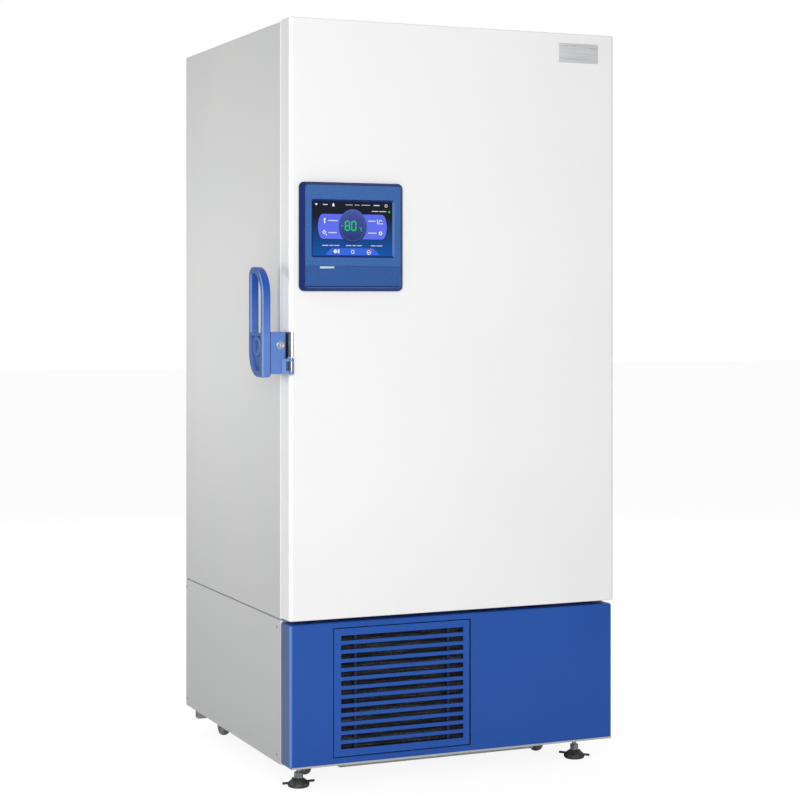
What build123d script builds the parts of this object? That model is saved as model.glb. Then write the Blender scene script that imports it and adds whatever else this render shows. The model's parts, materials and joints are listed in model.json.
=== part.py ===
from build123d import *
import math
import os

# Upright ultra low temperature freezer, in millimetres.
# The working frame has x = 0 at mid-width, y = 0 on the cabinet's front plane with +Y to the rear,
# and z = 0 on the floor. The whole assembly is shifted once, at export, to its own origin.

# Cabinet
CABINET_WIDTH = 945.0
CABINET_DEPTH = 824.0
CABINET_TOP = 1992.0
DECK_Z = 446.0
SEAM_GAP = 4.0
SHEET = 1.2
SHELL_EDGE_RADIUS = 4.0
SHELL_FLANGE = 30.0
WALL_SIDE = 110.0
WALL_TOP = 110.0
WALL_FLOOR = 110.0
WALL_BACK = 110.0
LINER_SHEET = 0.8
THROAT_DEPTH = 46.0
THROAT_STEP = 32.5
THROAT_EDGE_RADIUS = 4.0

# Shelves and their rails
SHELF_COUNT = 3
SHELF_SHEET = 1.5
SHELF_LIP = 30.0
SHELF_REAR_GAP = 12.0
RAIL_WIDTH = 20.0
RAIL_THICKNESS = 1.5
RAIL_END_GAP = 14.0
RAIL_FRONT_Y = 120.0
RAIL_REAR_GAP = 114.0
CLIP_REACH = 11.0
CLIP_HEIGHT = 12.0
CLIP_WIDTH = 13.4
CLIP_CHAMFER = 7.2
FIT = 0.05
RUNNING_GAP = 0.3
PICK = 0.01

# Inner doors
INNER_DOOR_THICKNESS = 28.0
INNER_DOOR_GAP = 3.0
INNER_DOOR_RADIUS = 6.0
INNER_PIN_INSET = 8.0
INNER_PIN_RADIUS = 4.0
INNER_PIN_LENGTH = 10.0
INNER_PLATE = 2.0
INNER_SEAL_WIDTH = 10.0
INNER_SEAL_END = 16.0
INNER_SEAL_SPLIT = 2.0
INNER_FIELD_MARGIN = 57.0
INNER_FIELD_RADIUS = 14.0
INNER_FIELD_DEPTH = 1.5
INNER_PULL_WIDTH = 26.0
INNER_PULL_HEIGHT = 90.0
INNER_PULL_DEPTH = 14.0
INNER_BORE_SPARE = 2.0

# Outer door
DOOR_GAP = 6.0
DOOR_THICKNESS = 63.0
DOOR_RISE = 3.0
DOOR_CLEARANCE = 4.0
DOOR_EDGE_RADIUS = 10.0
DOOR_LIP_RADIUS = 3.0
DOOR_SKIN = 1.0
DOOR_LINER = 2.0
DYKE_HEIGHT = 14.0
DYKE_INSET = 15.0
DYKE_RADIUS = 8.0
DYKE_CORNER_RADIUS = 16.0
GASKET_WIDTH = 24.0
GASKET_INSET = 8.0

# Hinges on the right-hand side
HINGE_OFFSET = 12.0
HINGE_BARREL_RADIUS = 9.0
HINGE_PIN_RADIUS = 5.0
HINGE_LEAF = 2.6
HINGE_LEAF_WIDTH = 56.0
HINGE_LEAF_RADIUS = 9.0
HINGE_WEB = 6.3
HINGE_PART_GAP = 0.5
HINGE_SEAT_RADIUS = 5.0
HINGE_SEAT_NEAR = 19.6
HINGE_SEAT_FAR = 42.0
HINGE_SEAT_RISE = 40.0
HINGE_HEIGHT = 120.0
HINGE_END_MARGIN = 110.0
HINGE_COUNT = 3

# Control panel on the door
PANEL_INSET = 167.7
PANEL_Z = 1434.5
PANEL_WIDTH = 287.0
PANEL_HEIGHT = 280.0
PANEL_RADIUS = 14.0
PANEL_PROUD = 19.0
PANEL_BASE = 6.0
PANEL_BEVEL_X = 11.5
PANEL_BEVEL_Z = 8.0
PANEL_FACE_RADIUS = 7.0
PANEL_RIM_RADIUS = 1.2
SCREEN_WIDTH = 216.96
SCREEN_HEIGHT = 135.6
SCREEN_RISE = 21.1
SCREEN_BORDER = 2.5
SCREEN_BEVEL = 4.2
SCREEN_DEPTH = 4.0
GLASS_THICKNESS = 2.6
GLASS_SEAT = 1.0
GLASS_GAP = 0.2
HOUSING_WALL = 22.0
HOUSING_DEPTH = 30.0
FLAP_WIDTH = 260.0
FLAP_HEIGHT = 52.9
FLAP_THICKNESS = 4.0
FLAP_BEAD_RADIUS = 3.5
FLAP_GAP = 0.5
FLAP_LIP = 3.0
FLAP_PEG_RADIUS = 1.2
FLAP_PEG_LENGTH = 3.0
FLAP_POCKET_DEPTH = 12.0
FLAP_CORNER_RADIUS = 1.5
SOCKET_WIDTH = 18.0
SOCKET_HEIGHT = 11.0
SOCKET_WALL = 2.5
SOCKET_PROUD = 4.0
SOCKET_SPACING = 30.0
JACK_RADIUS = 11.0
JACK_BORE_RADIUS = 4.0
JACK_OFFSET = 45.0

# Lever handle on the left-hand side of the door
HANDLE_PIVOT_X_OUT = 3.0
HANDLE_PIVOT_Y_OUT = 6.0
HANDLE_PIN_RADIUS = 4.0
HANDLE_KNUCKLE_RADIUS = 6.5
HANDLE_EAR_HALF_WIDTH = 5.5
HANDLE_EAR_RISE = 1.0
HANDLE_EAR_HEIGHT = 38.0
HANDLE_LUG_HEIGHT = 6.7
HANDLE_FORK_REACH = 14.0
HANDLE_PIN_HEAD = 2.5
HANDLE_HEAD_RADIUS = 5.5
HANDLE_ARM_ROOT_X = 8.0
HANDLE_ARM_ROOT_Y = 2.0
HANDLE_BLOCK_Z = 1083.0
HANDLE_BLOCK_HEIGHT = 107.0
HANDLE_BLOCK_WIDTH = 41.0
HANDLE_BLOCK_DEPTH = 46.0
HANDLE_BLOCK_GAP = 6.5
HANDLE_BLOCK_BEHIND = 9.0
LOOP_THICKNESS = 24.0
LOOP_DEPTH = 106.0
LOOP_HEIGHT = 283.0
LOOP_DROP = 9.0
LOOP_FRONT_BAR = 15.0
LOOP_REAR_BAR = 14.0
LOOP_TOP_BAR = 17.0
LOOP_TOP_FRONT_RADIUS = 75.0
LOOP_TOP_REAR_RADIUS = 25.0
LOOP_LOW_REAR_RADIUS = 64.0
LOOP_LOW_FRONT_RADIUS = 9.0
LOOP_EDGE_RADIUS = 4.5
WEB_HEIGHT = 113.0
WEB_RECESS = 8.0
WEB_RIM = 7.0
BOSS_RADIUS = 27.0
BOSS_HOLE_RADIUS = 15.0
BOSS_HOLE_DEPTH = 12.0
BOSS_HEIGHT = 80.0
BOSS_SINK = 2.0
BOSS_EDGE_RADIUS = 2.0
LOCK_RADIUS = 11.0
LOCK_DISH_RADIUS = 6.6
LOCK_OFFSET = 6.0
LOCK_DEPTH = 14.0
LOCK_PROUD = 2.0
LOCK_Z_ABOVE_BLOCK = 74.0
KEY_SLOT_WIDTH = 2.4
KEY_SLOT_LENGTH = 9.0
KEY_SLOT_DEPTH = 7.0
BRACKET_SHEET = 2.0
BRACKET_DEPTH = 36.0
BRACKET_EAR_GAP = 2.0

# Latch between the handle and the cabinet's left side
KEEPER_PLATE = 2.0
KEEPER_PLATE_DEPTH = 42.0
KEEPER_PLATE_MARGIN = 10.0
KEEPER_PLATE_RADIUS = 5.0
KEEPER_LUG = 3.0
KEEPER_POST_RADIUS = 5.0
KEEPER_POST_X_OUT = 13.5
KEEPER_POST_Y = 14.0
KEEPER_HEIGHT = 60.0
KEEPER_RISE = 25.0
HOOK_THICKNESS = 6.0
HOOK_HEIGHT = 34.0
HOOK_RADIUS = 8.5
HOOK_GAP = 0.4
HOOK_FOOT = 3.0
HOOK_END_Y = 26.0

# Machine compartment: covers
BASE_Z = 71.0
PAN_SHEET = 2.0
PAN_LIP_HEIGHT = 5.5
PAN_LIP_SETBACK = 3.0
FRONT_PANEL_TOP = 440.6
FRONT_PANEL_SHEET = 1.5
FRONT_PANEL_RADIUS = 9.0
FRONT_PANEL_TOP_RADIUS = 5.0
FRONT_PANEL_RIGHT_INSET = 6.0
FRONT_PANEL_BACK_Y = -4.3
SIDE_FLANGE = 26.0
LOUVRE_ROWS = 11
LOUVRE_PITCH = 24.0
LOUVRE_HEIGHT = 7.0
LOUVRE_LENGTH = 300.0
LOUVRE_X = -157.5
DECK_FOLD = 15.0

# Hinged grille in the front panel
GRILLE_LEFT = -351.0
GRILLE_WIDTH = 387.0
GRILLE_BOTTOM = 94.0
GRILLE_HEIGHT = 330.0
GRILLE_GAP = 2.5
GRILLE_SHEET = 3.0
GRILLE_DEPTH = 14.0
GRILLE_RIM = 3.0
GRILLE_EDGE_RADIUS = 3.0
SLOT_COUNT = 13
SLOT_PITCH = 23.3
SLOT_HEIGHT = 13.7
SLOT_SIDE_MARGIN = 19.5
SLAT_DEPTH = 9.0
SLAT_LAP = 2.0
SLAT_CHAMFER = 3.2
GRILLE_PIN_INSET = 6.0
GRILLE_PIN_RADIUS = 2.5
GRILLE_PIN_LENGTH = 8.0
GRILLE_RIB_WIDTH = 8.0
GRILLE_RIB_INSET = 42.0
GRILLE_RIB_LAP = 4.0
GRILLE_LUG_HALF = 6.0

# Air filter, condenser and fan behind the grille
FILTER_THICKNESS = 10.0
FILTER_FRAME = 12.0
FILTER_PLEATS = 18
FILTER_GAP = 4.0
PLEAT_INSET = 1.0
PLEAT_THICKNESS = 2.0
COIL_LEFT_GAP = 1.0
COIL_RIGHT_GAP = 3.0
COIL_LOW_GAP = 14.0
COIL_TOP_GAP = 4.0
CONDENSER_DEPTH = 50.0
CONDENSER_SIDE_PLATE = 2.0
CONDENSER_FINS = 24
CONDENSER_FIN = 1.2
CONDENSER_FIN_INSET = 2.0
CONDENSER_STAGGER = 8.0
CONDENSER_TUBE_RADIUS = 4.8
CONDENSER_TUBE_ROWS = 8
SHROUD_DEPTH = 30.0
SHROUD_STUD_ROOM = 30.0
SHROUD_SHEET = 2.0
SHROUD_RING_DEPTH = 22.0
FAN_RADIUS = 127.0
FAN_TIP_GAP = 5.0
FAN_HUB_RADIUS = 32.0
FAN_HUB_LENGTH = 22.0
FAN_HUB_EDGE_RADIUS = 5.0
FAN_BACK_GAP = 3.0
FAN_BLADES = 5
FAN_BLADE_THICKNESS = 2.4
FAN_ROOT_SINK = 3.0
FAN_ROOT_CHORD = 26.0
FAN_ROOT_ANGLE = 42.0
FAN_TIP_CHORD = 42.0
FAN_TIP_ANGLE = 66.0
FAN_SHAFT_RADIUS = 5.0
FAN_SHAFT_REACH = 26.0
MOTOR_RADIUS = 44.0
MOTOR_LENGTH = 60.0
MOTOR_EDGE_RADIUS = 11.0
MOTOR_ARM_LAP = 10.0
MOTOR_ARM_WIDTH = 16.0
MOTOR_ARM_THICKNESS = 3.0

# Refrigeration and electrical pieces on the base
COMPRESSOR_RADIUS = 98.0
COMPRESSOR_HEIGHT = 270.0
COMPRESSOR_DOME = 55.0
COMPRESSOR_CROWN_RADIUS = 73.5
COMPRESSOR_CROWN_DROP = 19.8
COMPRESSOR_SKIRT_RADIUS = 78.0
COMPRESSOR_SKIRT_RISE = 18.0
COMPRESSOR_SEAM_PROUD = 3.0
COMPRESSOR_SEAM_DROP = 18.0
COMPRESSOR_SEAM_HEIGHT = 6.0
COMPRESSOR_SPACING = 330.0
COMPRESSOR_BEHIND_MIDDLE = 18.0
COMPRESSOR_FOOT = 120.0
COMPRESSOR_FOOT_DEPTH = 90.0
COMPRESSOR_FOOT_SHEET = 3.0
COMPRESSOR_STUB_RADIUS = 7.0
COMPRESSOR_STUB_LENGTH = 20.0
COMPRESSOR_STUB_RISE = 148.5
COMPRESSOR_STUB_SINK = 4.0
GROMMET_RADIUS = 14.0
GROMMET_HEIGHT = 12.0
GROMMET_INSET = 18.0
GROMMET_BORE_RADIUS = 5.6
PIPE_RADIUS = 4.8
STUB_ANGLE = 60.0
DISCHARGE_REACH = 142.0
SUCTION_REACH = 88.0
LIQUID_REACH = 45.0
DRIER_RADIUS = 18.0
DRIER_LENGTH = 150.0
EXCHANGER_WIDTH = 150.0
EXCHANGER_DEPTH = 150.0
EXCHANGER_HEIGHT = 265.0
EXCHANGER_SIDE_GAP = 12.0
EXCHANGER_REAR_GAP = 10.0
EXCHANGER_EDGE_RADIUS = 12.0
BOX_COIL_GAP = 90.3
BOX_DEPTH = 150.0
BOX_HEIGHT = 320.0
BOX_SHEET = 1.5
BOX_FRONT_Y = 76.0
BOX_SIDE_GAP = 8.0
BOX_EDGE_RADIUS = 4.0
BOX_LID_LAP = 2.0
BOX_LID_DEPTH = 14.0

# Base frame
RAIL_TUBE = 40.0
POST = 30.0
POST_WALL = 3.0
LOW_MEMBER_HEIGHT = 36.0
LOW_MEMBER_WIDTH = 28.0
LOW_MEMBER_WALL = 2.5
FRONT_MEMBER_INSET = 186.5
FRONT_MEMBER_Y = 66.0
REAR_MEMBER_INSET = 22.5
REAR_MEMBER_GAP = 34.0
COMPRESSOR_RAIL_HEIGHT = 25.0

# Casters and levelling feet
WHEEL_RADIUS = 32.0
WHEEL_WIDTH = 22.0
WHEEL_HUB_WALL = 5.0
WHEEL_RIM = 7.0
WHEEL_CROWN = 3.0
WHEEL_DISH = 4.0
AXLE_PROUD = 1.5
WHEEL_BORE_RADIUS = 4.0
CASTER_TRAIL = 30.0
CASTER_PLATE = 60.0
CASTER_PLATE_SHEET = 3.0
CASTER_PLATE_RADIUS = 6.0
KINGPIN_RADIUS = 5.0
CROWN_RADIUS = 14.0
CROWN_HEIGHT = 4.0
FORK_CHEEK = 2.5
FORK_TIP = 9.0
FORK_HEEL = 4.0
FORK_SHOULDER = 6.0
FORK_DROP = 8.0
FORK_GAP = 1.0
FRONT_CASTER_INSET = 124.5
FRONT_CASTER_Y = 128.0
REAR_CASTER_INSET = 74.5
REAR_CASTER_GAP = 157.0
FOOT_INSET = 64.5
FOOT_Y = 40.0
FOOT_RADIUS = 29.0
FOOT_RIM = 2.5
FOOT_SHOULDER = 17.4
FOOT_NECK = 5.0
FOOT_CREST_DROP = 4.0
FOOT_LEFT_TURN = 0.0
FOOT_RIGHT_TURN = 42.0
FOOT_HEIGHT = 24.0
FOOT_ARM_REACH = 44.0
FOOT_ARM_RADIUS = 3.2
FOOT_ARM_Z = 12.0
FOOT_HEX = 22.0
FOOT_HEX_HEIGHT = 14.0
STUD_RADIUS = 6.0
STUD_TOP_ABOVE_PAN = 30.0
STUD_CLEARANCE = 4.0
WELD_NUT = 19.0
WELD_NUT_HEIGHT = 10.0

# Cord gland on the rear cover
GLAND_X = 150.0
GLAND_Z = 210.0
GLAND_RADIUS = 13.0
GLAND_NECK_RADIUS = 9.1
GLAND_DOME_RADIUS = 5.8
GLAND_FLANGE = 28.0
GLAND_FLANGE_DEPTH = 6.0
GLAND_NUT = 26.0
GLAND_NUT_DEPTH = 5.0
GLAND_BORE_RADIUS = 5.5
GLAND_PROUD = 24.0
GLAND_INSIDE = 12.0

# Places worked out from the sizes above
HALF_WIDTH = CABINET_WIDTH / 2
INNER_HALF = HALF_WIDTH - SHEET
DOOR_BACK_Y = -DOOR_GAP
DOOR_FRONT_Y = DOOR_BACK_Y - DOOR_THICKNESS
DOOR_BOTTOM = DECK_Z + DOOR_CLEARANCE
DOOR_TOP = CABINET_TOP + DOOR_RISE
CAVITY_HALF = HALF_WIDTH - WALL_SIDE
CAVITY_FLOOR = DECK_Z + WALL_FLOOR
CAVITY_TOP = CABINET_TOP - WALL_TOP
CAVITY_BACK = CABINET_DEPTH - WALL_BACK
CAVITY_MID = (CAVITY_FLOOR + CAVITY_TOP) / 2
RAIL_REAR_Y = CAVITY_BACK - RAIL_REAR_GAP
THROAT_HALF = CAVITY_HALF + THROAT_STEP
THROAT_BOTTOM = CAVITY_FLOOR - THROAT_STEP
THROAT_TOP = CAVITY_TOP + THROAT_STEP
DECK_TOP = DECK_Z + SHEET
PAN_TOP = BASE_Z + PAN_SHEET
HINGE_X = HALF_WIDTH + HINGE_OFFSET
LINER_FACE_Y = THROAT_DEPTH - LINER_SHEET
INNER_BACK_Y = LINER_FACE_Y - 4.2
INNER_FRONT_Y = INNER_BACK_Y - INNER_DOOR_THICKNESS
INNER_HINGE_X = THROAT_HALF - INNER_DOOR_GAP - INNER_PIN_INSET
INNER_HINGE_Y = INNER_FRONT_Y + INNER_PIN_INSET
PIVOT_X = -HALF_WIDTH + HANDLE_PIVOT_X_OUT
PIVOT_Y = DOOR_FRONT_Y - HANDLE_PIVOT_Y_OUT
BLOCK_RIGHT_X = -HALF_WIDTH - HANDLE_BLOCK_GAP
BLOCK_LEFT_X = BLOCK_RIGHT_X - HANDLE_BLOCK_WIDTH
LOOP_LEFT_X = BLOCK_LEFT_X - LOOP_THICKNESS
LOOP_Z = HANDLE_BLOCK_Z - LOOP_DROP
HANDLE_EAR_Z = HANDLE_BLOCK_Z + HANDLE_EAR_RISE
KEEPER_Z = HANDLE_BLOCK_Z + KEEPER_RISE
LOOP_FRONT_Y = DOOR_FRONT_Y + HANDLE_BLOCK_BEHIND - 1.0
BLOCK_FRONT_Y = DOOR_FRONT_Y + HANDLE_BLOCK_BEHIND
BLOCK_BACK_Y = BLOCK_FRONT_Y + HANDLE_BLOCK_DEPTH
LOCK_X = (BLOCK_LEFT_X + BLOCK_RIGHT_X) / 2 + LOCK_OFFSET
LOCK_Z = HANDLE_BLOCK_Z + LOCK_Z_ABOVE_BLOCK
PANEL_X = -HALF_WIDTH + PANEL_INSET
PANEL_FRONT_Y = DOOR_FRONT_Y - PANEL_PROUD
SCREEN_Z = PANEL_Z + SCREEN_RISE
GLASS_BACK_Y = PANEL_FRONT_Y + SCREEN_DEPTH + GLASS_SEAT + GLASS_THICKNESS
FLAP_BOTTOM = PANEL_Z - PANEL_HEIGHT / 2 + PANEL_BEVEL_Z + FLAP_LIP
FLAP_TOP = FLAP_BOTTOM + FLAP_HEIGHT
FLAP_AXIS_Y = PANEL_FRONT_Y + FLAP_BEAD_RADIUS
FLAP_AXIS_Z = FLAP_BOTTOM + FLAP_BEAD_RADIUS
FRONT_PANEL_BOTTOM = PAN_TOP + PAN_LIP_HEIGHT - PAN_SHEET + 0.5
FRONT_PANEL_RIGHT = HALF_WIDTH - FRONT_PANEL_RIGHT_INSET
GRILLE_RIGHT = GRILLE_LEFT + GRILLE_WIDTH
GRILLE_TOP = GRILLE_BOTTOM + GRILLE_HEIGHT
GRILLE_AXIS_X = GRILLE_LEFT + GRILLE_PIN_INSET
GRILLE_AXIS_Y = DOOR_FRONT_Y + GRILLE_PIN_INSET
FILTER_FRONT_Y = DOOR_FRONT_Y + GRILLE_DEPTH + FILTER_GAP
CONDENSER_FRONT_Y = FILTER_FRONT_Y + FILTER_THICKNESS
CONDENSER_BACK_Y = CONDENSER_FRONT_Y + CONDENSER_DEPTH
SHROUD_BACK_Y = CONDENSER_BACK_Y + SHROUD_DEPTH
FAN_X = (GRILLE_LEFT + GRILLE_RIGHT) / 2
FAN_Z = (GRILLE_BOTTOM + GRILLE_TOP) / 2
COMPRESSOR_Y = CABINET_DEPTH / 2 + COMPRESSOR_BEHIND_MIDDLE
FRONT_MEMBER_HALF = HALF_WIDTH - FRONT_MEMBER_INSET
REAR_MEMBER_HALF = HALF_WIDTH - REAR_MEMBER_INSET
REAR_MEMBER_Y = CABINET_DEPTH - REAR_MEMBER_GAP
FRONT_CASTER_X = HALF_WIDTH - FRONT_CASTER_INSET
REAR_CASTER_X = HALF_WIDTH - REAR_CASTER_INSET
REAR_CASTER_Y = CABINET_DEPTH - REAR_CASTER_GAP
FOOT_X = HALF_WIDTH - FOOT_INSET
AXLE_Z = WHEEL_RADIUS
CASTER_TOP = BASE_Z
SHELF_PITCH = (CAVITY_TOP - CAVITY_FLOOR) / (SHELF_COUNT + 1)
REAR_Y = CABINET_DEPTH + GLAND_PROUD

# One shift moves the origin to the bottom centre of the whole object's box.
LEFT_END = LOOP_LEFT_X
RIGHT_END = HINGE_X + HINGE_BARREL_RADIUS
FRONT_END = PANEL_FRONT_Y
SHIFT = Location((-(LEFT_END + RIGHT_END) / 2, -(FRONT_END + REAR_Y) / 2, 0))


def block(x0, x1, y0, y1, z0, z1):
    """A box between two corners."""
    return Pos((x0 + x1) / 2, (y0 + y1) / 2, (z0 + z1) / 2) * Box(x1 - x0, y1 - y0, z1 - z0)


def front_plane(x, y, z):
    """A plane that faces the front, with its local y axis up."""
    return Plane(origin=(x, y, z), x_dir=(1, 0, 0), z_dir=(0, -1, 0))


def side_plane(x, y, z):
    """A plane that faces the left, with local x to the front and local y up."""
    return Plane(origin=(x, y, z), x_dir=(0, -1, 0), z_dir=(-1, 0, 0))


def rod(radius, start, end, bore=0.0):
    """A round bar between two points, with an optional bore along it."""
    start, end = Vector(*start), Vector(*end)
    plane = Plane(origin=start, z_dir=end - start)
    section = Circle(radius) - Circle(bore) if bore else Circle(radius)
    return extrude(plane * section, amount=(end - start).length)


def group(*solids):
    """Separate solids that share one node."""
    return Compound(children=list(solids))


def edges_at(shape, axis, along, value):
    """Edges that run along one axis and lie at a value of another."""
    return shape.edges().filter_by(axis).filter_by_position(along, value - PICK, value + PICK)


def edges_on(shape, along, value):
    """Edges that lie, over their middles, at a value of one axis."""
    return shape.edges().filter_by_position(along, value - PICK, value + PICK)


def hex_bar(size, start, depth, direction):
    """A hexagonal bar, size across its flats, from a point along a direction."""
    plane = Plane(origin=start, z_dir=direction)
    return extrude(plane * RegularPolygon(size / 2, 6, major_radius=False), amount=depth)


# The insulated cabinet

def shell_block(inset):
    """The cabinet's outer form, set in by the thickness of its sheet."""
    half = HALF_WIDTH - inset
    top = CABINET_TOP - inset
    body = block(-half, half, inset, CABINET_DEPTH - SHEET, DECK_Z + SEAM_GAP / 2 - 2 * inset, top)
    bends = edges_at(body, Axis.Z, Axis.Y, inset) + edges_at(body, Axis.X, Axis.Y, inset)
    bends += edges_at(body, Axis.Y, Axis.Z, top)
    bends = [edge for edge in bends if edge.center().Z > DECK_Z + SEAM_GAP]
    return fillet(bends, SHELL_EDGE_RADIUS - inset)


def make_outer_shell():
    """One wrapped sheet makes the left side, the top and the right side, with a turned-in front flange."""
    mouth = block(-(HALF_WIDTH - SHELL_FLANGE), HALF_WIDTH - SHELL_FLANGE, -1, SHEET + 1,
                  DECK_Z - SHEET, CABINET_TOP - SHELL_FLANGE)
    rear_opening = block(-INNER_HALF, INNER_HALF, CABINET_DEPTH - 2 * SHEET, CABINET_DEPTH,
                         DECK_Z - SHEET, CABINET_TOP - SHEET - SHELL_EDGE_RADIUS)
    return shell_block(0.0) - shell_block(SHEET) - mouth - rear_opening


def make_back_panel():
    back = block(-HALF_WIDTH, HALF_WIDTH, CABINET_DEPTH - SHEET, CABINET_DEPTH,
                 DECK_Z + SEAM_GAP / 2, CABINET_TOP)
    return fillet(edges_at(back, Axis.Y, Axis.Z, CABINET_TOP), SHELL_EDGE_RADIUS)


def make_cabinet_insulation():
    """Foamed walls, floor, ceiling and back between the shell and the liner."""
    top = CABINET_TOP - SHEET
    inside = block(-INNER_HALF, INNER_HALF, THROAT_DEPTH, CABINET_DEPTH - SHEET, DECK_TOP, top)
    inside = fillet(edges_at(inside, Axis.Y, Axis.Z, top), SHELL_EDGE_RADIUS - SHEET)
    liner_half = CAVITY_HALF + LINER_SHEET
    rear_y = CAVITY_BACK + LINER_SHEET
    far = CABINET_DEPTH
    slabs = [
        block(-HALF_WIDTH, -liner_half, 0, far, DECK_Z, CABINET_TOP),
        block(liner_half, HALF_WIDTH, 0, far, DECK_Z, CABINET_TOP),
        block(-liner_half, liner_half, rear_y, far, DECK_Z, CABINET_TOP),
        block(-liner_half, liner_half, 0, rear_y, CAVITY_TOP + LINER_SHEET, CABINET_TOP),
        block(-liner_half, liner_half, 0, rear_y, DECK_Z, CAVITY_FLOOR - LINER_SHEET),
    ]
    return group(*[inside & slab for slab in slabs])


def make_inner_liner():
    """The stainless lining, with a rim round its mouth that the inner doors close against."""
    wall = LINER_SHEET
    outer = block(-CAVITY_HALF - wall, CAVITY_HALF + wall, THROAT_DEPTH, CAVITY_BACK + wall,
                  CAVITY_FLOOR - wall, CAVITY_TOP + wall)
    rim = block(-THROAT_HALF, THROAT_HALF, LINER_FACE_Y, THROAT_DEPTH, THROAT_BOTTOM, THROAT_TOP)
    hollow = block(-CAVITY_HALF, CAVITY_HALF, 0, CAVITY_BACK, CAVITY_FLOOR, CAVITY_TOP)
    return outer + rim - hollow


def make_throat_frame():
    """Four moulded strips that bridge the cold lining and the outer shell round the mouth."""
    top = CABINET_TOP - SHEET
    lip_half = HALF_WIDTH - SHELL_FLANGE - RUNNING_GAP
    lip_top = CABINET_TOP - SHELL_FLANGE - RUNNING_GAP
    bend = SHELL_EDGE_RADIUS - SHEET

    def side(sign):
        bar = block(THROAT_HALF, INNER_HALF, SHEET, LINER_FACE_Y, DECK_TOP, top)
        bar = fillet(edges_at(bar, Axis.Z, Axis.X, INNER_HALF).group_by(Axis.Y)[0]
                     + edges_at(bar, Axis.Y, Axis.Z, top).group_by(Axis.X)[-1]
                     + edges_at(bar, Axis.X, Axis.Z, top).group_by(Axis.Y)[0], bend)
        lip = block(THROAT_HALF, lip_half, 0, SHEET, DECK_TOP, lip_top)
        strip = bar + lip
        strip = fillet(edges_at(strip, Axis.Z, Axis.X, THROAT_HALF).group_by(Axis.Y)[0], THROAT_EDGE_RADIUS)
        return strip if sign > 0 else mirror(strip, Plane.YZ)

    ceiling = block(-THROAT_HALF, THROAT_HALF, SHEET, LINER_FACE_Y, THROAT_TOP, top)
    ceiling = fillet(edges_at(ceiling, Axis.X, Axis.Z, top).group_by(Axis.Y)[0], bend)
    ceiling += block(-THROAT_HALF, THROAT_HALF, 0, SHEET, THROAT_TOP, lip_top)
    sill = block(-THROAT_HALF, THROAT_HALF, 0, LINER_FACE_Y, DECK_TOP, THROAT_BOTTOM)
    return group(side(-1), side(1), ceiling, sill)


def shelf_heights():
    return [CAVITY_FLOOR + SHELF_PITCH * (index + 1) for index in range(SHELF_COUNT)]


def make_shelves():
    """Stainless trays turned upside down, each with a deep folded front edge."""
    half = CAVITY_HALF - RAIL_THICKNESS - 1.0
    trays = []
    for z in shelf_heights():
        top = z + SHELF_LIP / 2
        tray = block(-half, half, LINER_FACE_Y, CAVITY_BACK - SHELF_REAR_GAP, top - SHELF_LIP, top)
        tray = fillet(edges_at(tray, Axis.X, Axis.Z, top).group_by(Axis.Y)[0], SHELF_SHEET * 2)
        hollow = block(-half + SHELF_SHEET, half - SHELF_SHEET, LINER_FACE_Y + SHELF_SHEET,
                       CAVITY_BACK - SHELF_REAR_GAP - SHELF_SHEET, top - SHELF_LIP, top - SHELF_SHEET)
        trays.append(tray - hollow)
    return group(*trays)


def make_shelf_rails():
    """Four slotted uprights on the side walls and the clips that hold the shelves."""
    pieces = []
    for sign in (-1, 1):
        wall = sign * CAVITY_HALF
        face = sign * (CAVITY_HALF - RAIL_THICKNESS)
        reach = sign * (CAVITY_HALF - RAIL_THICKNESS - CLIP_REACH)
        for y in (RAIL_FRONT_Y, RAIL_REAR_Y):
            pieces.append(block(min(wall, face), max(wall, face), y - RAIL_WIDTH / 2, y + RAIL_WIDTH / 2,
                                CAVITY_FLOOR + RAIL_END_GAP, CAVITY_TOP - RAIL_END_GAP))
            for z in shelf_heights():
                top = z - SHELF_LIP / 2
                clip = block(min(face, reach), max(face, reach), y - CLIP_WIDTH / 2, y + CLIP_WIDTH / 2,
                             top - CLIP_HEIGHT, top)
                low_edge = edges_at(clip, Axis.Y, Axis.Z, top - CLIP_HEIGHT)
                low_edge = low_edge.filter_by_position(Axis.X, reach - PICK, reach + PICK)
                pieces.append(chamfer(low_edge, CLIP_CHAMFER))
    return group(*pieces)


def make_inner_door_seals():
    """Soft frames on the lining's rim, one for each inner door."""
    half = CAVITY_HALF + INNER_SEAL_WIDTH
    spans = ((THROAT_BOTTOM + INNER_SEAL_END, CAVITY_MID - INNER_SEAL_SPLIT),
             (CAVITY_MID + INNER_SEAL_SPLIT, THROAT_TOP - INNER_SEAL_END))
    frames = []
    for low, high in spans:
        frame = block(-half, half, INNER_BACK_Y + RUNNING_GAP, LINER_FACE_Y, low, high)
        inner = block(-half + INNER_SEAL_WIDTH, half - INNER_SEAL_WIDTH, 0, THROAT_DEPTH,
                      low + INNER_SEAL_WIDTH, high - INNER_SEAL_WIDTH)
        frames.append(frame - inner)
    return group(*frames)


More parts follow.
